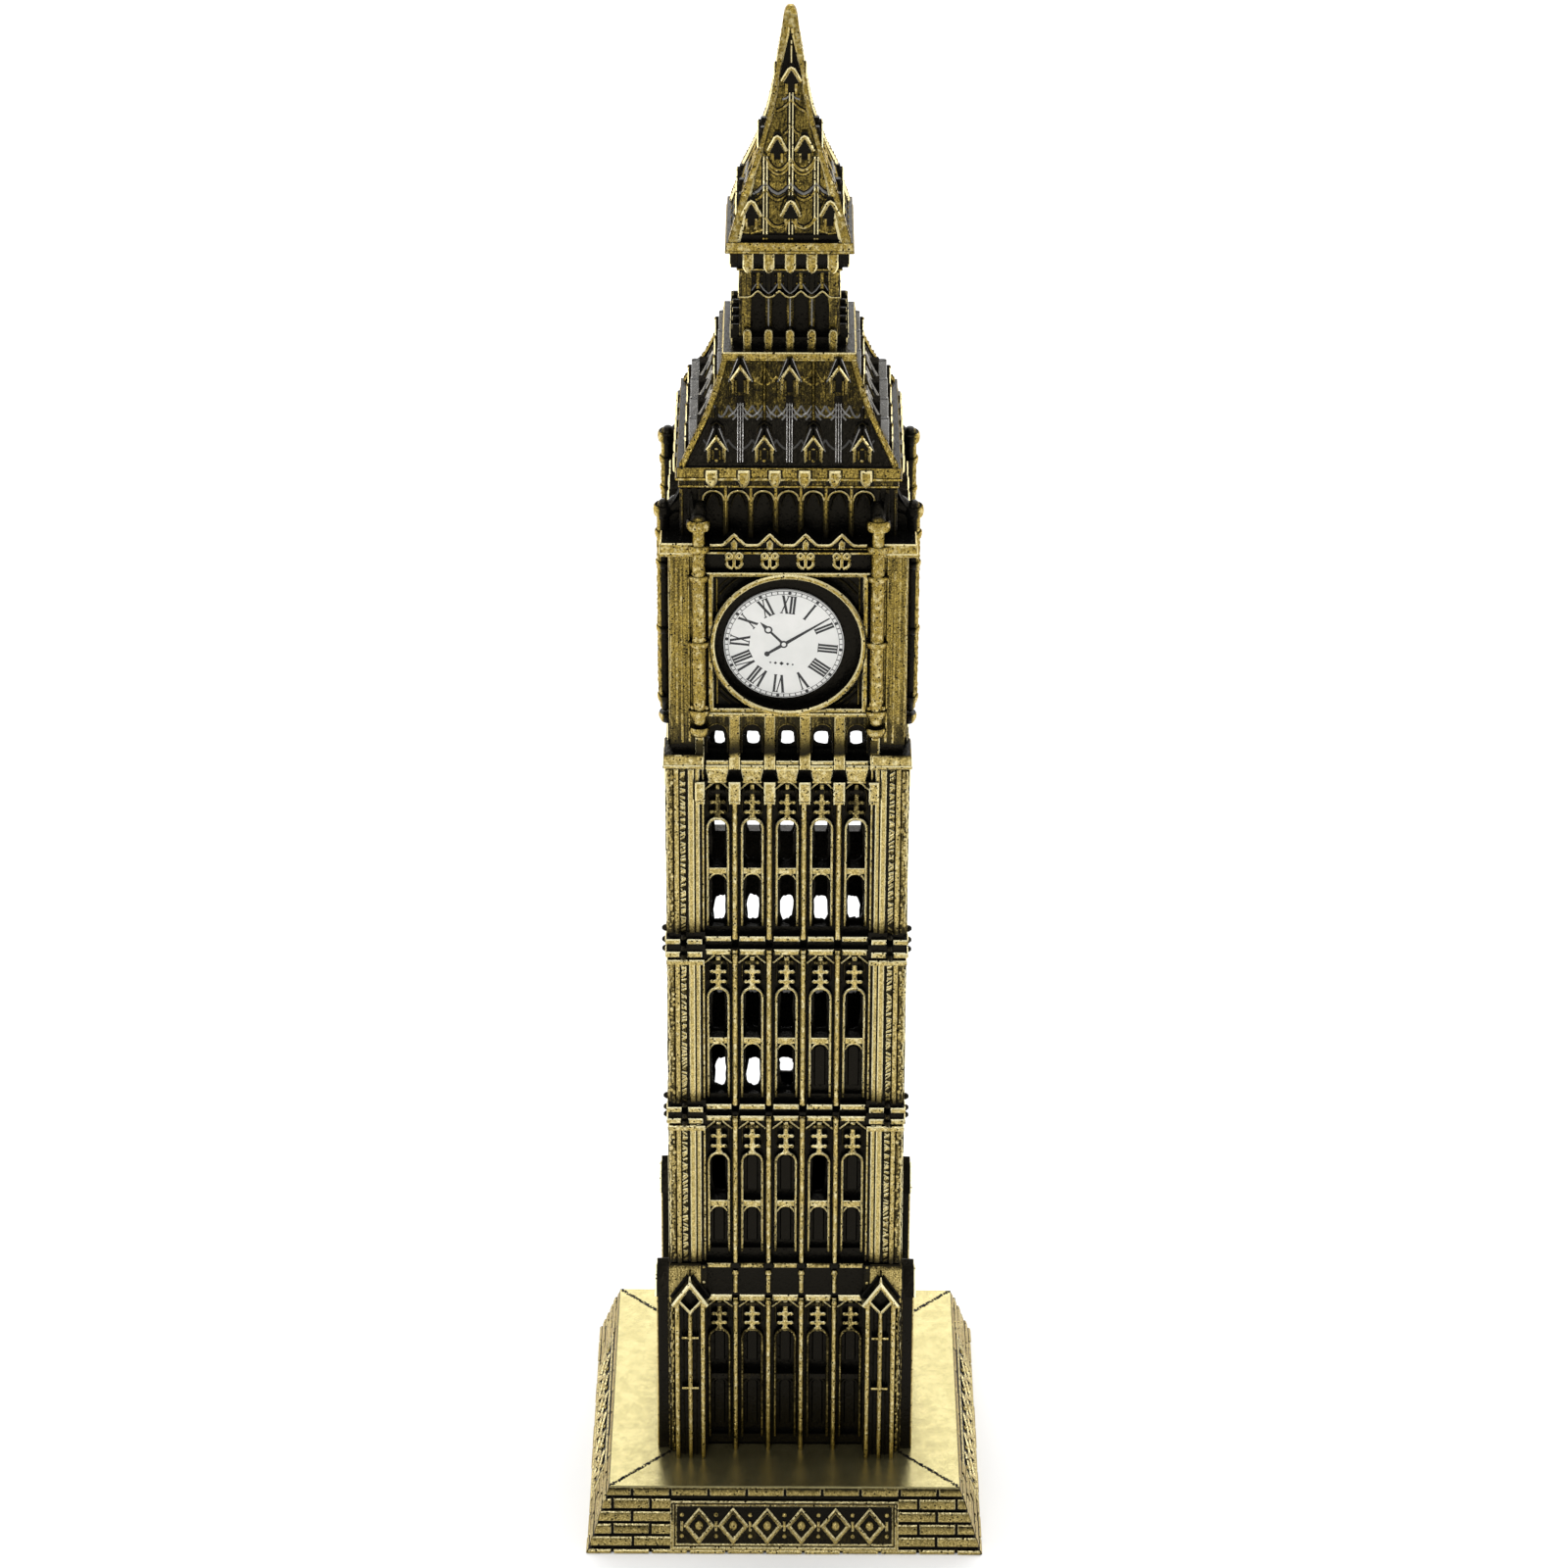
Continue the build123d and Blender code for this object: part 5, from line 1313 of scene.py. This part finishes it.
def finished(me, name, turn, shift=0.0):
    """Tidies a mesh, stores what its faces know, and stands it on its side of the tower, in metres."""
    import bmesh

    bm = bmesh.new()
    bm.from_mesh(me)
    bmesh.ops.remove_doubles(bm, verts=bm.verts, dist=2e-4)
    bmesh.ops.dissolve_degenerate(bm, edges=bm.edges, dist=2e-4)
    loose = [v for v in bm.verts if not v.link_faces]
    bmesh.ops.delete(bm, geom=loose, context="VERTS")
    # islands too small to be metal
    seen, small = set(), []
    for f in bm.faces:
        if f in seen:
            continue
        stack, isle = [f], []
        seen.add(f)
        while stack:
            g = stack.pop()
            isle.append(g)
            for e in g.edges:
                for h in e.link_faces:
                    if h not in seen:
                        seen.add(h)
                        stack.append(h)
        if len(isle) < 2000 and name.endswith("wall"):
            small += isle
    if small:
        bmesh.ops.delete(bm, geom=small, context="FACES")
    bad = sum(1 for e in bm.edges if len(e.link_faces) != 2)
    bm.to_mesh(me)
    bm.free()
    n = len(me.polygons)
    kid = np.zeros(n, np.int32)
    me.attributes["kid"].data.foreach_get("value", kid)
    kid = np.clip(kid, 0, NCLASS * KINDS - 1)
    t = table[kid // KINDS]
    a = me.attributes.new("relief", "FLOAT_VECTOR", "FACE")
    a.data.foreach_set("vector", t[:, :3].astype(np.float32).ravel())
    a = me.attributes.new("gloss", "FLOAT", "FACE")
    a.data.foreach_set("value", t[:, 3].astype(np.float32))
    a = me.attributes.new("fade", "FLOAT", "FACE")
    a.data.foreach_set("value", t[:, 4].astype(np.float32))
    a = me.attributes.new("outward", "FLOAT_VECTOR", "FACE")
    a.data.foreach_set("vector", np.tile([math.sin(turn), -math.cos(turn), 0.0], n).astype(np.float32))
    a = me.attributes.new("edge", "FLOAT", "FACE")
    a.data.foreach_set("value", np.array([0.0, 1.0, 0.5])[kid % KINDS].astype(np.float32))
    me.attributes.remove(me.attributes["kid"])
    co = np.zeros(len(me.vertices) * 3, np.float32)
    me.vertices.foreach_get("co", co)
    co = co.reshape(-1, 3)
    a = me.attributes.new("loc", "FLOAT_VECTOR", "POINT")
    a.data.foreach_set("vector", co[:, [0, 2, 1]].copy().ravel())
    x, z, d = co[:, 0] + shift, co[:, 1], co[:, 2]
    c, s_ = math.cos(turn), math.sin(turn)
    w = np.column_stack([x * c + d * s_, x * s_ - d * c, z]) * MM
    me.vertices.foreach_set("co", w.astype(np.float32).ravel())
    me.update()
    me.shade_smooth()
    me.set_sharp_from_angle(angle=math.radians(32))
    smooth = ~((t[:, 3] > 0.6) & (np.abs(normals(me)[:, 2]) > 0.97))
    me.polygons.foreach_set("use_smooth", smooth)
    me.name = name
    me.validate()
    o = bpy.data.objects.new(name, me)
    bpy.context.scene.collection.objects.link(o)
    tris = sum(len(p.vertices) - 2 for p in me.polygons)
    print(name, "faces", n, "triangles", tris, "open edges", bad, "removed", len(small), flush=True)
    return o


TURNS = {"front": 0.0, "right": math.pi / 2, "rear": math.pi, "left": -math.pi / 2}
body = joined("add", as_mesh(K.groups["base"], "base"))
for items in layers(K.groups["cut"]):
    body = boolean(body, as_mesh(items, "cut"), "DIFFERENCE")
disc = joined("dial")
disc = boolean(disc, as_mesh(K.groups["dial_top"][:1], "t"), "UNION")
disc = boolean(disc, as_mesh(K.groups["dial_top"][1:], "t"), "UNION")
walls, dials = {}, {}
for i, (wall, turn) in enumerate(TURNS.items()):
    me = joined(f"web_{wall}", body.copy())
    me = boolean(me, as_mesh(K.groups[f"wedge{i + 1}"], "w"), "INTERSECT")
    walls[wall] = finished(me, f"{wall}_wall", turn)
    dials[wall] = finished(disc.copy(), f"{wall}_dial_face", turn, shift=-0.45 if wall == "front" else 0.15)


# ------------------------------------------------------------------ materials
class Tree:
    def __init__(self, name):
        self.mat = bpy.data.materials.new(name)
        self.mat.use_nodes = True
        self.t = self.mat.node_tree
        self.t.nodes.clear()
        self.out = self.t.nodes.new("ShaderNodeOutputMaterial")
        self.p = self.t.nodes.new("ShaderNodeBsdfPrincipled")
        self.t.links.new(self.p.outputs[0], self.out.inputs[0])

    def put(self, sock, v):
        if hasattr(v, "links"):
            self.t.links.new(v, sock)
        elif v is not None:
            sock.default_value = v

    def set(self, **kw):
        for k, v in kw.items():
            self.put(self.p.inputs[k.replace("_", " ")], v)

    def math(self, op, a, b=None, c=None, clamp=False):
        n = self.t.nodes.new("ShaderNodeMath")
        n.operation = op
        n.use_clamp = clamp
        self.put(n.inputs[0], a)
        if b is not None:
            self.put(n.inputs[1], b)
        if c is not None:
            self.put(n.inputs[2], c)
        return n.outputs[0]

    def remap(self, v, a, b, c=0.0, d=1.0, smooth=True):
        n = self.t.nodes.new("ShaderNodeMapRange")
        n.interpolation_type = "SMOOTHSTEP" if smooth else "LINEAR"
        self.put(n.inputs["Value"], v)
        for k, q in (("From Min", a), ("From Max", b), ("To Min", c), ("To Max", d)):
            self.put(n.inputs[k], q)
        return n.outputs["Result"]

    def mix(self, f, a, b):
        n = self.t.nodes.new("ShaderNodeMix")
        n.data_type = "RGBA"
        self.put(n.inputs[0], f)
        for sock, v in ((n.inputs[6], a), (n.inputs[7], b)):
            if isinstance(v, tuple):
                v = (*v, 1.0)
            self.put(sock, v)
        return n.outputs[2]

    def mixf(self, f, a, b):
        n = self.t.nodes.new("ShaderNodeMix")
        n.data_type = "FLOAT"
        self.put(n.inputs[0], f)
        self.put(n.inputs[2], a)
        self.put(n.inputs[3], b)
        return n.outputs[0]

    def noise(self, vec, scale, detail=3.0, rough=0.55, distort=0.0):
        n = self.t.nodes.new("ShaderNodeTexNoise")
        self.put(n.inputs["Vector"], vec)
        n.inputs["Scale"].default_value = scale
        n.inputs["Detail"].default_value = detail
        n.inputs["Roughness"].default_value = rough
        n.inputs["Distortion"].default_value = distort
        return n.outputs[0]

    def voronoi(self, vec, scale, feature="F1"):
        n = self.t.nodes.new("ShaderNodeTexVoronoi")
        n.feature = feature
        self.put(n.inputs["Vector"], vec)
        n.inputs["Scale"].default_value = scale
        return n.outputs["Distance"]

    def attr(self, name, out="Fac"):
        n = self.t.nodes.new("ShaderNodeAttribute")
        n.attribute_name = name
        return n.outputs[out]

    def split(self, v):
        n = self.t.nodes.new("ShaderNodeSeparateXYZ")
        self.put(n.inputs[0], v)
        return n.outputs

    def place(self, scale=1000.0):
        c = self.t.nodes.new("ShaderNodeTexCoord")
        n = self.t.nodes.new("ShaderNodeVectorMath")
        n.operation = "SCALE"
        self.put(n.inputs[0], c.outputs["Object"])
        n.inputs["Scale"].default_value = scale
        return n.outputs[0]

    def bump(self, height, dist, strength=1.0, normal=None):
        n = self.t.nodes.new("ShaderNodeBump")
        n.inputs["Strength"].default_value = strength
        n.inputs["Distance"].default_value = dist
        self.put(n.inputs["Height"], height)
        if normal is not None:
            self.put(n.inputs["Normal"], normal)
        return n.outputs[0]


def antique_brass():
    t = Tree("antique_brass_lacquer")
    p = t.place()
    lo, hi, tone = t.split(t.attr("relief", "Vector"))
    loc = t.split(t.attr("loc", "Vector"))
    d, z = loc[1], loc[2]
    edge, gloss, fade = t.attr("edge"), t.attr("gloss"), t.attr("fade")
    geo = t.t.nodes.new("ShaderNodeNewGeometry")
    dot = t.t.nodes.new("ShaderNodeVectorMath")
    dot.operation = "DOT_PRODUCT"
    t.put(dot.inputs[0], geo.outputs["Normal"])
    t.put(dot.inputs[1], t.attr("outward", "Vector"))
    facing = dot.outputs["Value"]
    plate_ = t.remap(gloss, 0.6, 0.9)
    coarse = t.noise(p, 0.55, 3.0, 0.6)
    mid = t.noise(p, 1.9, 3.0, 0.55)
    fine = t.noise(p, 6.0, 4.0, 0.6)
    grain = t.noise(p, 24.0, 3.0, 0.6)
    sq = t.t.nodes.new("ShaderNodeVectorMath")
    sq.operation = "MULTIPLY"
    t.put(sq.inputs[0], p)
    sq.inputs[1].default_value = (1.0, 1.0, 0.045)
    streak = t.noise(sq.outputs[0], 5.0, 3.0, 0.6)
    span = t.math("MAXIMUM", t.math("SUBTRACT", hi, lo), 0.02)
    h = t.math("DIVIDE", t.math("SUBTRACT", d, lo), span)
    h = t.math("ADD", h, t.math("MULTIPLY", t.math("SUBTRACT", mid, 0.5), 0.4))
    rub = t.remap(h, 0.18, 0.9)
    # darker at the foot of each tier, strongest right above its string course
    ramp = t.t.nodes.new("ShaderNodeValToRGB")
    cr = ramp.color_ramp
    stops = ((0.0, 0.7), (7.5, 0.7), (7.65, 0.42), (8.6, 0.7), (10.6, 0.96), (14.0, 1.0), (30.2, 1.0), (33.5, 1.0), (33.7, 0.12), (36.2, 0.9), (40.0, 1.0), (54.9, 1.0), (55.0, 0.1), (57.6, 0.9), (60.0, 1.0), (76.7, 1.0), (76.8, 0.1), (79.6, 0.92), (83.0, 1.0), (99.4, 1.0), (99.8, 0.1), (102.0, 0.62), (106.0, 1.0), (123.8, 1.0), (124.0, 0.05), (126.4, 0.35), (129.2, 1.0), (180.0, 1.0))
    while len(cr.elements) < len(stops):
        cr.elements.new(0.5)
    for e, (zz, v) in zip(cr.elements, stops):
        e.position = zz / 180.0
    for e, (zz, v) in zip(cr.elements, stops):
        e.color = (v, v, v, 1)
    t.put(ramp.inputs[0], t.math("DIVIDE", t.math("ADD", z, t.math("MULTIPLY", t.math("SUBTRACT", coarse, 0.5), 1.2)), 180.0))
    foot_dark = t.mixf(fade, 1.0, ramp.outputs[0])
    # where the black wash was wiped off
    wipe = t.math("ADD", tone, t.math("MULTIPLY", t.math("SUBTRACT", coarse, 0.5), 0.4))
    wipe = t.math("ADD", wipe, t.math("MULTIPLY", t.math("SUBTRACT", fine, 0.5), 0.45))
    wipe = t.math("ADD", wipe, t.math("MULTIPLY", t.math("SUBTRACT", streak, 0.5), 0.55))
    wipe = t.math("MULTIPLY", t.remap(wipe, 0.1, 0.95), foot_dark)
    m = t.math("MULTIPLY", rub, wipe)
    # gold only on faces turned towards the wall's front: unrubbed sides stay black, and round columns darken towards
    # their edges as painted shade
    free = t.math("MAXIMUM", plate_, t.math("MULTIPLY", t.remap(fade, 1.2, 1.8), t.remap(facing, -0.7, -0.1)))
    out_ = t.mixf(free, t.remap(facing, 0.06, 0.8), 1.0)
    m = t.math("MULTIPLY", m, out_)
    # chamfers rubbed to gold; they also feed the painted highlight further down
    chamfer = t.math("MULTIPLY", t.remap(edge, 0.55, 0.95), t.math("MULTIPLY", t.remap(tone, 0.1, 0.9), foot_dark))
    chamfer = t.math("MULTIPLY", chamfer, t.remap(facing, 0.2, 0.6))
    m = t.math("MAXIMUM", m, t.math("MULTIPLY", chamfer, t.remap(fine, 0.3, 0.6, 0.55, 1.0)))
    # pits that kept the wash
    keep = t.remap(gloss, 0.0, 0.5)
    pit = t.mixf(keep, t.remap(t.voronoi(p, 1.9), 0.1, 0.27), 1.0)
    speck = t.mixf(keep, t.remap(fine, 0.27, 0.37, 0.35, 1.0), 1.0)
    m = t.math("MULTIPLY", m, t.math("MULTIPLY", pit, speck), clamp=True)
    black = (0.0026, 0.0026, 0.0024)
    olive = (0.040, 0.030, 0.007)
    # deeper gold on the clock stage and roof, brighter and paler gold on the shaft and base, with a brighter painted
    # highlight there
    low = t.remap(z, 94.0, 108.0, 0.62, 0.0)
    warm = t.mix(t.remap(streak, 0.35, 0.65), (0.135, 0.092, 0.017), (0.28, 0.2, 0.042))
    warm = t.mix(low, warm, (0.35, 0.272, 0.092))
    gold = t.mix(t.remap(fine, 0.42, 0.66), warm, t.mix(low, (0.48, 0.345, 0.072), (0.84, 0.675, 0.285)))
    # colour of the painted highlight: pale cream standing in for lamp glints on the gold
    painted_highlight_col = t.mix(low, (0.92, 0.80, 0.43), (1.0, 0.93, 0.6))
    col = t.mix(t.remap(m, 0.0, 0.42), black, olive)
    col = t.mix(t.remap(m, 0.25, 0.82), col, gold)
    # painted highlight: pale cream patches on the best-rubbed gold and on the chamfers; on the chamfers it is also
    # their brighter polish
    painted_highlight = t.math("MULTIPLY", t.remap(m, 0.72, 1.0), t.remap(mid, 0.46, 0.72, 0.0, 0.58))
    painted_highlight = t.math("MULTIPLY", painted_highlight, t.math("SUBTRACT", 1.0, t.remap(gloss, 0.1, 0.5)))
    painted_highlight = t.math("MAXIMUM", painted_highlight, t.math("MULTIPLY", chamfer, t.remap(m, 0.4, 0.85, 0.0, 1.0)))
    col = t.mix(painted_highlight, col, painted_highlight_col)
    col = t.mix(plate_, col, t.mix(t.remap(coarse, 0.35, 0.65), (0.262, 0.232, 0.108), (0.31, 0.275, 0.134)))
    metal = t.remap(m, 0.08, 0.42)
    rough_gold = t.remap(fine, 0.3, 0.7, 0.38, 0.22)
    rough_black = t.remap(mid, 0.35, 0.7, 0.09, 0.24)
    rough = t.mixf(metal, rough_black, rough_gold)
    rough = t.mixf(plate_, rough, t.remap(mid, 0.3, 0.7, 0.15, 0.24))
    lump = t.math("ADD", t.math("MULTIPLY", mid, 0.8), t.math("MULTIPLY", fine, 0.22))
    lump = t.math("SUBTRACT", lump, t.math("MULTIPLY", t.math("SUBTRACT", 1.0, pit), 0.45))
    lump = t.math("ADD", lump, t.math("MULTIPLY", streak, 0.12))
    n1 = t.bump(lump, 0.00012, 0.7)
    # painted reflection: faces with negative gloss, black lacquer on the real thing, get grey metal colour to stand in
    # for the lamps' reflection
    painted_reflection_grey = t.math("MULTIPLY", t.remap(gloss, -0.05, -1.0, 0.0, 1.0, False), t.remap(fine, 0.3, 0.6, 0.85, 1.0))
    t.put(n1.node.inputs["Strength"], t.mixf(t.remap(gloss, -0.05, -0.4), t.mixf(plate_, t.mixf(keep, 0.75, 0.35), 0.12), 0.2))
    n2 = t.bump(grain, 0.00001, 0.7, n1)
    t.set(Base_Color=col, Metallic=metal, Roughness=rough, Normal=n2)
    metal = t.mixf(plate_, metal, 0.86)
    col = t.mix(painted_reflection_grey, col, (0.42, 0.41, 0.39))
    metal = t.math("MAXIMUM", metal, painted_reflection_grey)
    t.set(Base_Color=col, Metallic=metal)
    t.set(Specular_IOR_Level=0.11, Specular_Tint=(1.0, 0.86, 0.6, 1.0), Coat_Weight=t.mixf(metal, 0.0, 0.16), Coat_Roughness=0.1, Coat_IOR=1.45)
    return t.mat


def dial_print():
    t = Tree("dial_print")
    p = t.place()
    tone = t.split(t.attr("relief", "Vector"))[2]
    fibre = t.noise(p, 9.0, 4.0, 0.6)
    cloud = t.noise(p, 0.35, 3.0, 0.5)
    paper = t.mix(t.remap(cloud, 0.3, 0.7), (0.80, 0.80, 0.76), (0.88, 0.87, 0.83))
    paper = t.mix(t.remap(fibre, 0.62, 0.8, 0.0, 0.3), paper, (0.66, 0.65, 0.6))
    inkc = t.mix(t.remap(fibre, 0.35, 0.7), (0.008, 0.008, 0.009), (0.035, 0.034, 0.034))
    k = t.math("MULTIPLY", t.remap(tone, 0.1, 0.6), t.remap(fibre, 0.12, 0.34, 0.7, 1.0))
    col = t.mix(k, paper, inkc)
    t.set(Base_Color=col, Roughness=t.remap(fibre, 0.3, 0.7, 0.38, 0.52), Specular_IOR_Level=0.4, Coat_Weight=0.25, Coat_Roughness=0.2)
    t.set(Normal=t.bump(t.noise(p, 14.0, 3.0), 0.000006, 0.6))
    return t.mat


def felt():
    t = Tree("pad_felt")
    p = t.place()
    a = t.noise(p, 3.5, 6.0, 0.75, 1.5)
    b = t.noise(p, 0.4, 3.0, 0.5)
    col = t.mix(t.remap(a, 0.3, 0.7), (0.008, 0.03, 0.018), (0.03, 0.075, 0.045))
    col = t.mix(t.remap(b, 0.45, 0.7, 0.0, 0.35), col, (0.05, 0.08, 0.05))
    t.set(Base_Color=col, Roughness=0.95, Specular_IOR_Level=0.15, Sheen_Weight=0.5, Sheen_Roughness=0.4)
    t.set(Normal=t.bump(a, 0.00012, 1.0))
    return t.mat


brass, printed, cloth = antique_brass(), dial_print(), felt()
for wall in TURNS:
    for o, mat, node in ((walls[wall], brass, f"{wall}_casting"), (dials[wall], printed, f"{wall}_dial")):
        o.data.materials.clear()
        o.data.materials.append(mat)
        o.data.polygons.foreach_set("material_index", np.zeros(len(o.data.polygons), np.int32))
        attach(o, "root")
        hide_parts(node)
        a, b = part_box(node)
        co = np.array([v.co for v in o.data.vertices])
        print(node, "cad", [round(q * 1000, 2) for q in (*a, *b)], "mesh", [round(float(q) * 1000, 2) for q in (*co.min(0), *co.max(0))])
pad = frame["nodes"]["base_pad"]
pad.data.materials.clear()
pad.data.materials.append(cloth)

# ------------------------------------------------------------------ floor, light and camera
sc = bpy.context.scene
for o in list(sc.objects):
    if o.type in ("LIGHT", "CAMERA"):
        bpy.data.objects.remove(o)
me = bpy.data.meshes.new("floor")
me.from_pydata([(-4, -4, 0), (4, -4, 0), (4, 4, 0), (-4, 4, 0)], [], [(0, 1, 2, 3)])
floor = bpy.data.objects.new("floor", me)
sc.collection.objects.link(floor)
t = Tree("floor_paper")
fp = t.place(1.0)
t.set(Base_Color=t.mix(t.noise(fp, 3.0, 2.0), (0.86, 0.86, 0.86), (0.89, 0.89, 0.89)), Roughness=0.8, Specular_IOR_Level=0.1)
me.materials.append(t.mat)

world = sc.world or bpy.data.worlds.new("world")
sc.world = world
world.use_nodes = True
bg = world.node_tree.nodes.get("Background")
bg.inputs[0].default_value = (1, 1, 1, 1)
bg.inputs[1].default_value = 0.6


def softbox(name, at, to, w, h, radiance):
    l = bpy.data.lights.new(name, "AREA")
    l.shape = "RECTANGLE"
    l.size, l.size_y = w, h
    l.energy = radiance * math.pi * w * h
    o = bpy.data.objects.new(name, l)
    o.location = at
    from mathutils import Vector

    o.rotation_euler = (Vector(to) - Vector(at)).to_track_quat("-Z", "Y").to_euler()
    o.visible_camera = False
    sc.collection.objects.link(o)


softbox("back_box", (0.0, 0.95, 0.64), (0, 0, 0.09), 3.4, 0.42, 3.4)
softbox("top_box", (0.0, 0.3, 1.2), (0, 0.1, 0.1), 1.3, 0.8, 2.6)
softbox("front_box", (-0.35, -1.05, 0.86), (0, 0, 0.1), 0.36, 0.3, 7.5)
softbox("right_box", (1.05, 0.1, 0.42), (0, 0, 0.1), 0.3, 0.9, 3.0)
softbox("left_box", (-1.05, 0.1, 0.42), (0, 0, 0.1), 0.3, 0.9, 3.0)

cam_data = bpy.data.cameras.new("camera")
cam = bpy.data.objects.new("camera", cam_data)
sc.collection.objects.link(cam)
sc.camera = cam
cam_data.sensor_fit = "HORIZONTAL"
cam_data.sensor_width = 36.0
cam_data.lens = 114.799
cam_data.shift_x = -0.00217
cam_data.clip_start, cam_data.clip_end = 0.01, 30
cam.location = (0.0, -0.490718, 0.352598)
from mathutils import Matrix

cam.rotation_euler = (Matrix.Rotation(math.radians(61.7545), 3, "X") @ Matrix.Rotation(math.radians(0.238), 3, "Z")).to_euler()
sc.view_settings.view_transform = "Standard"
sc.view_settings.look = "None"
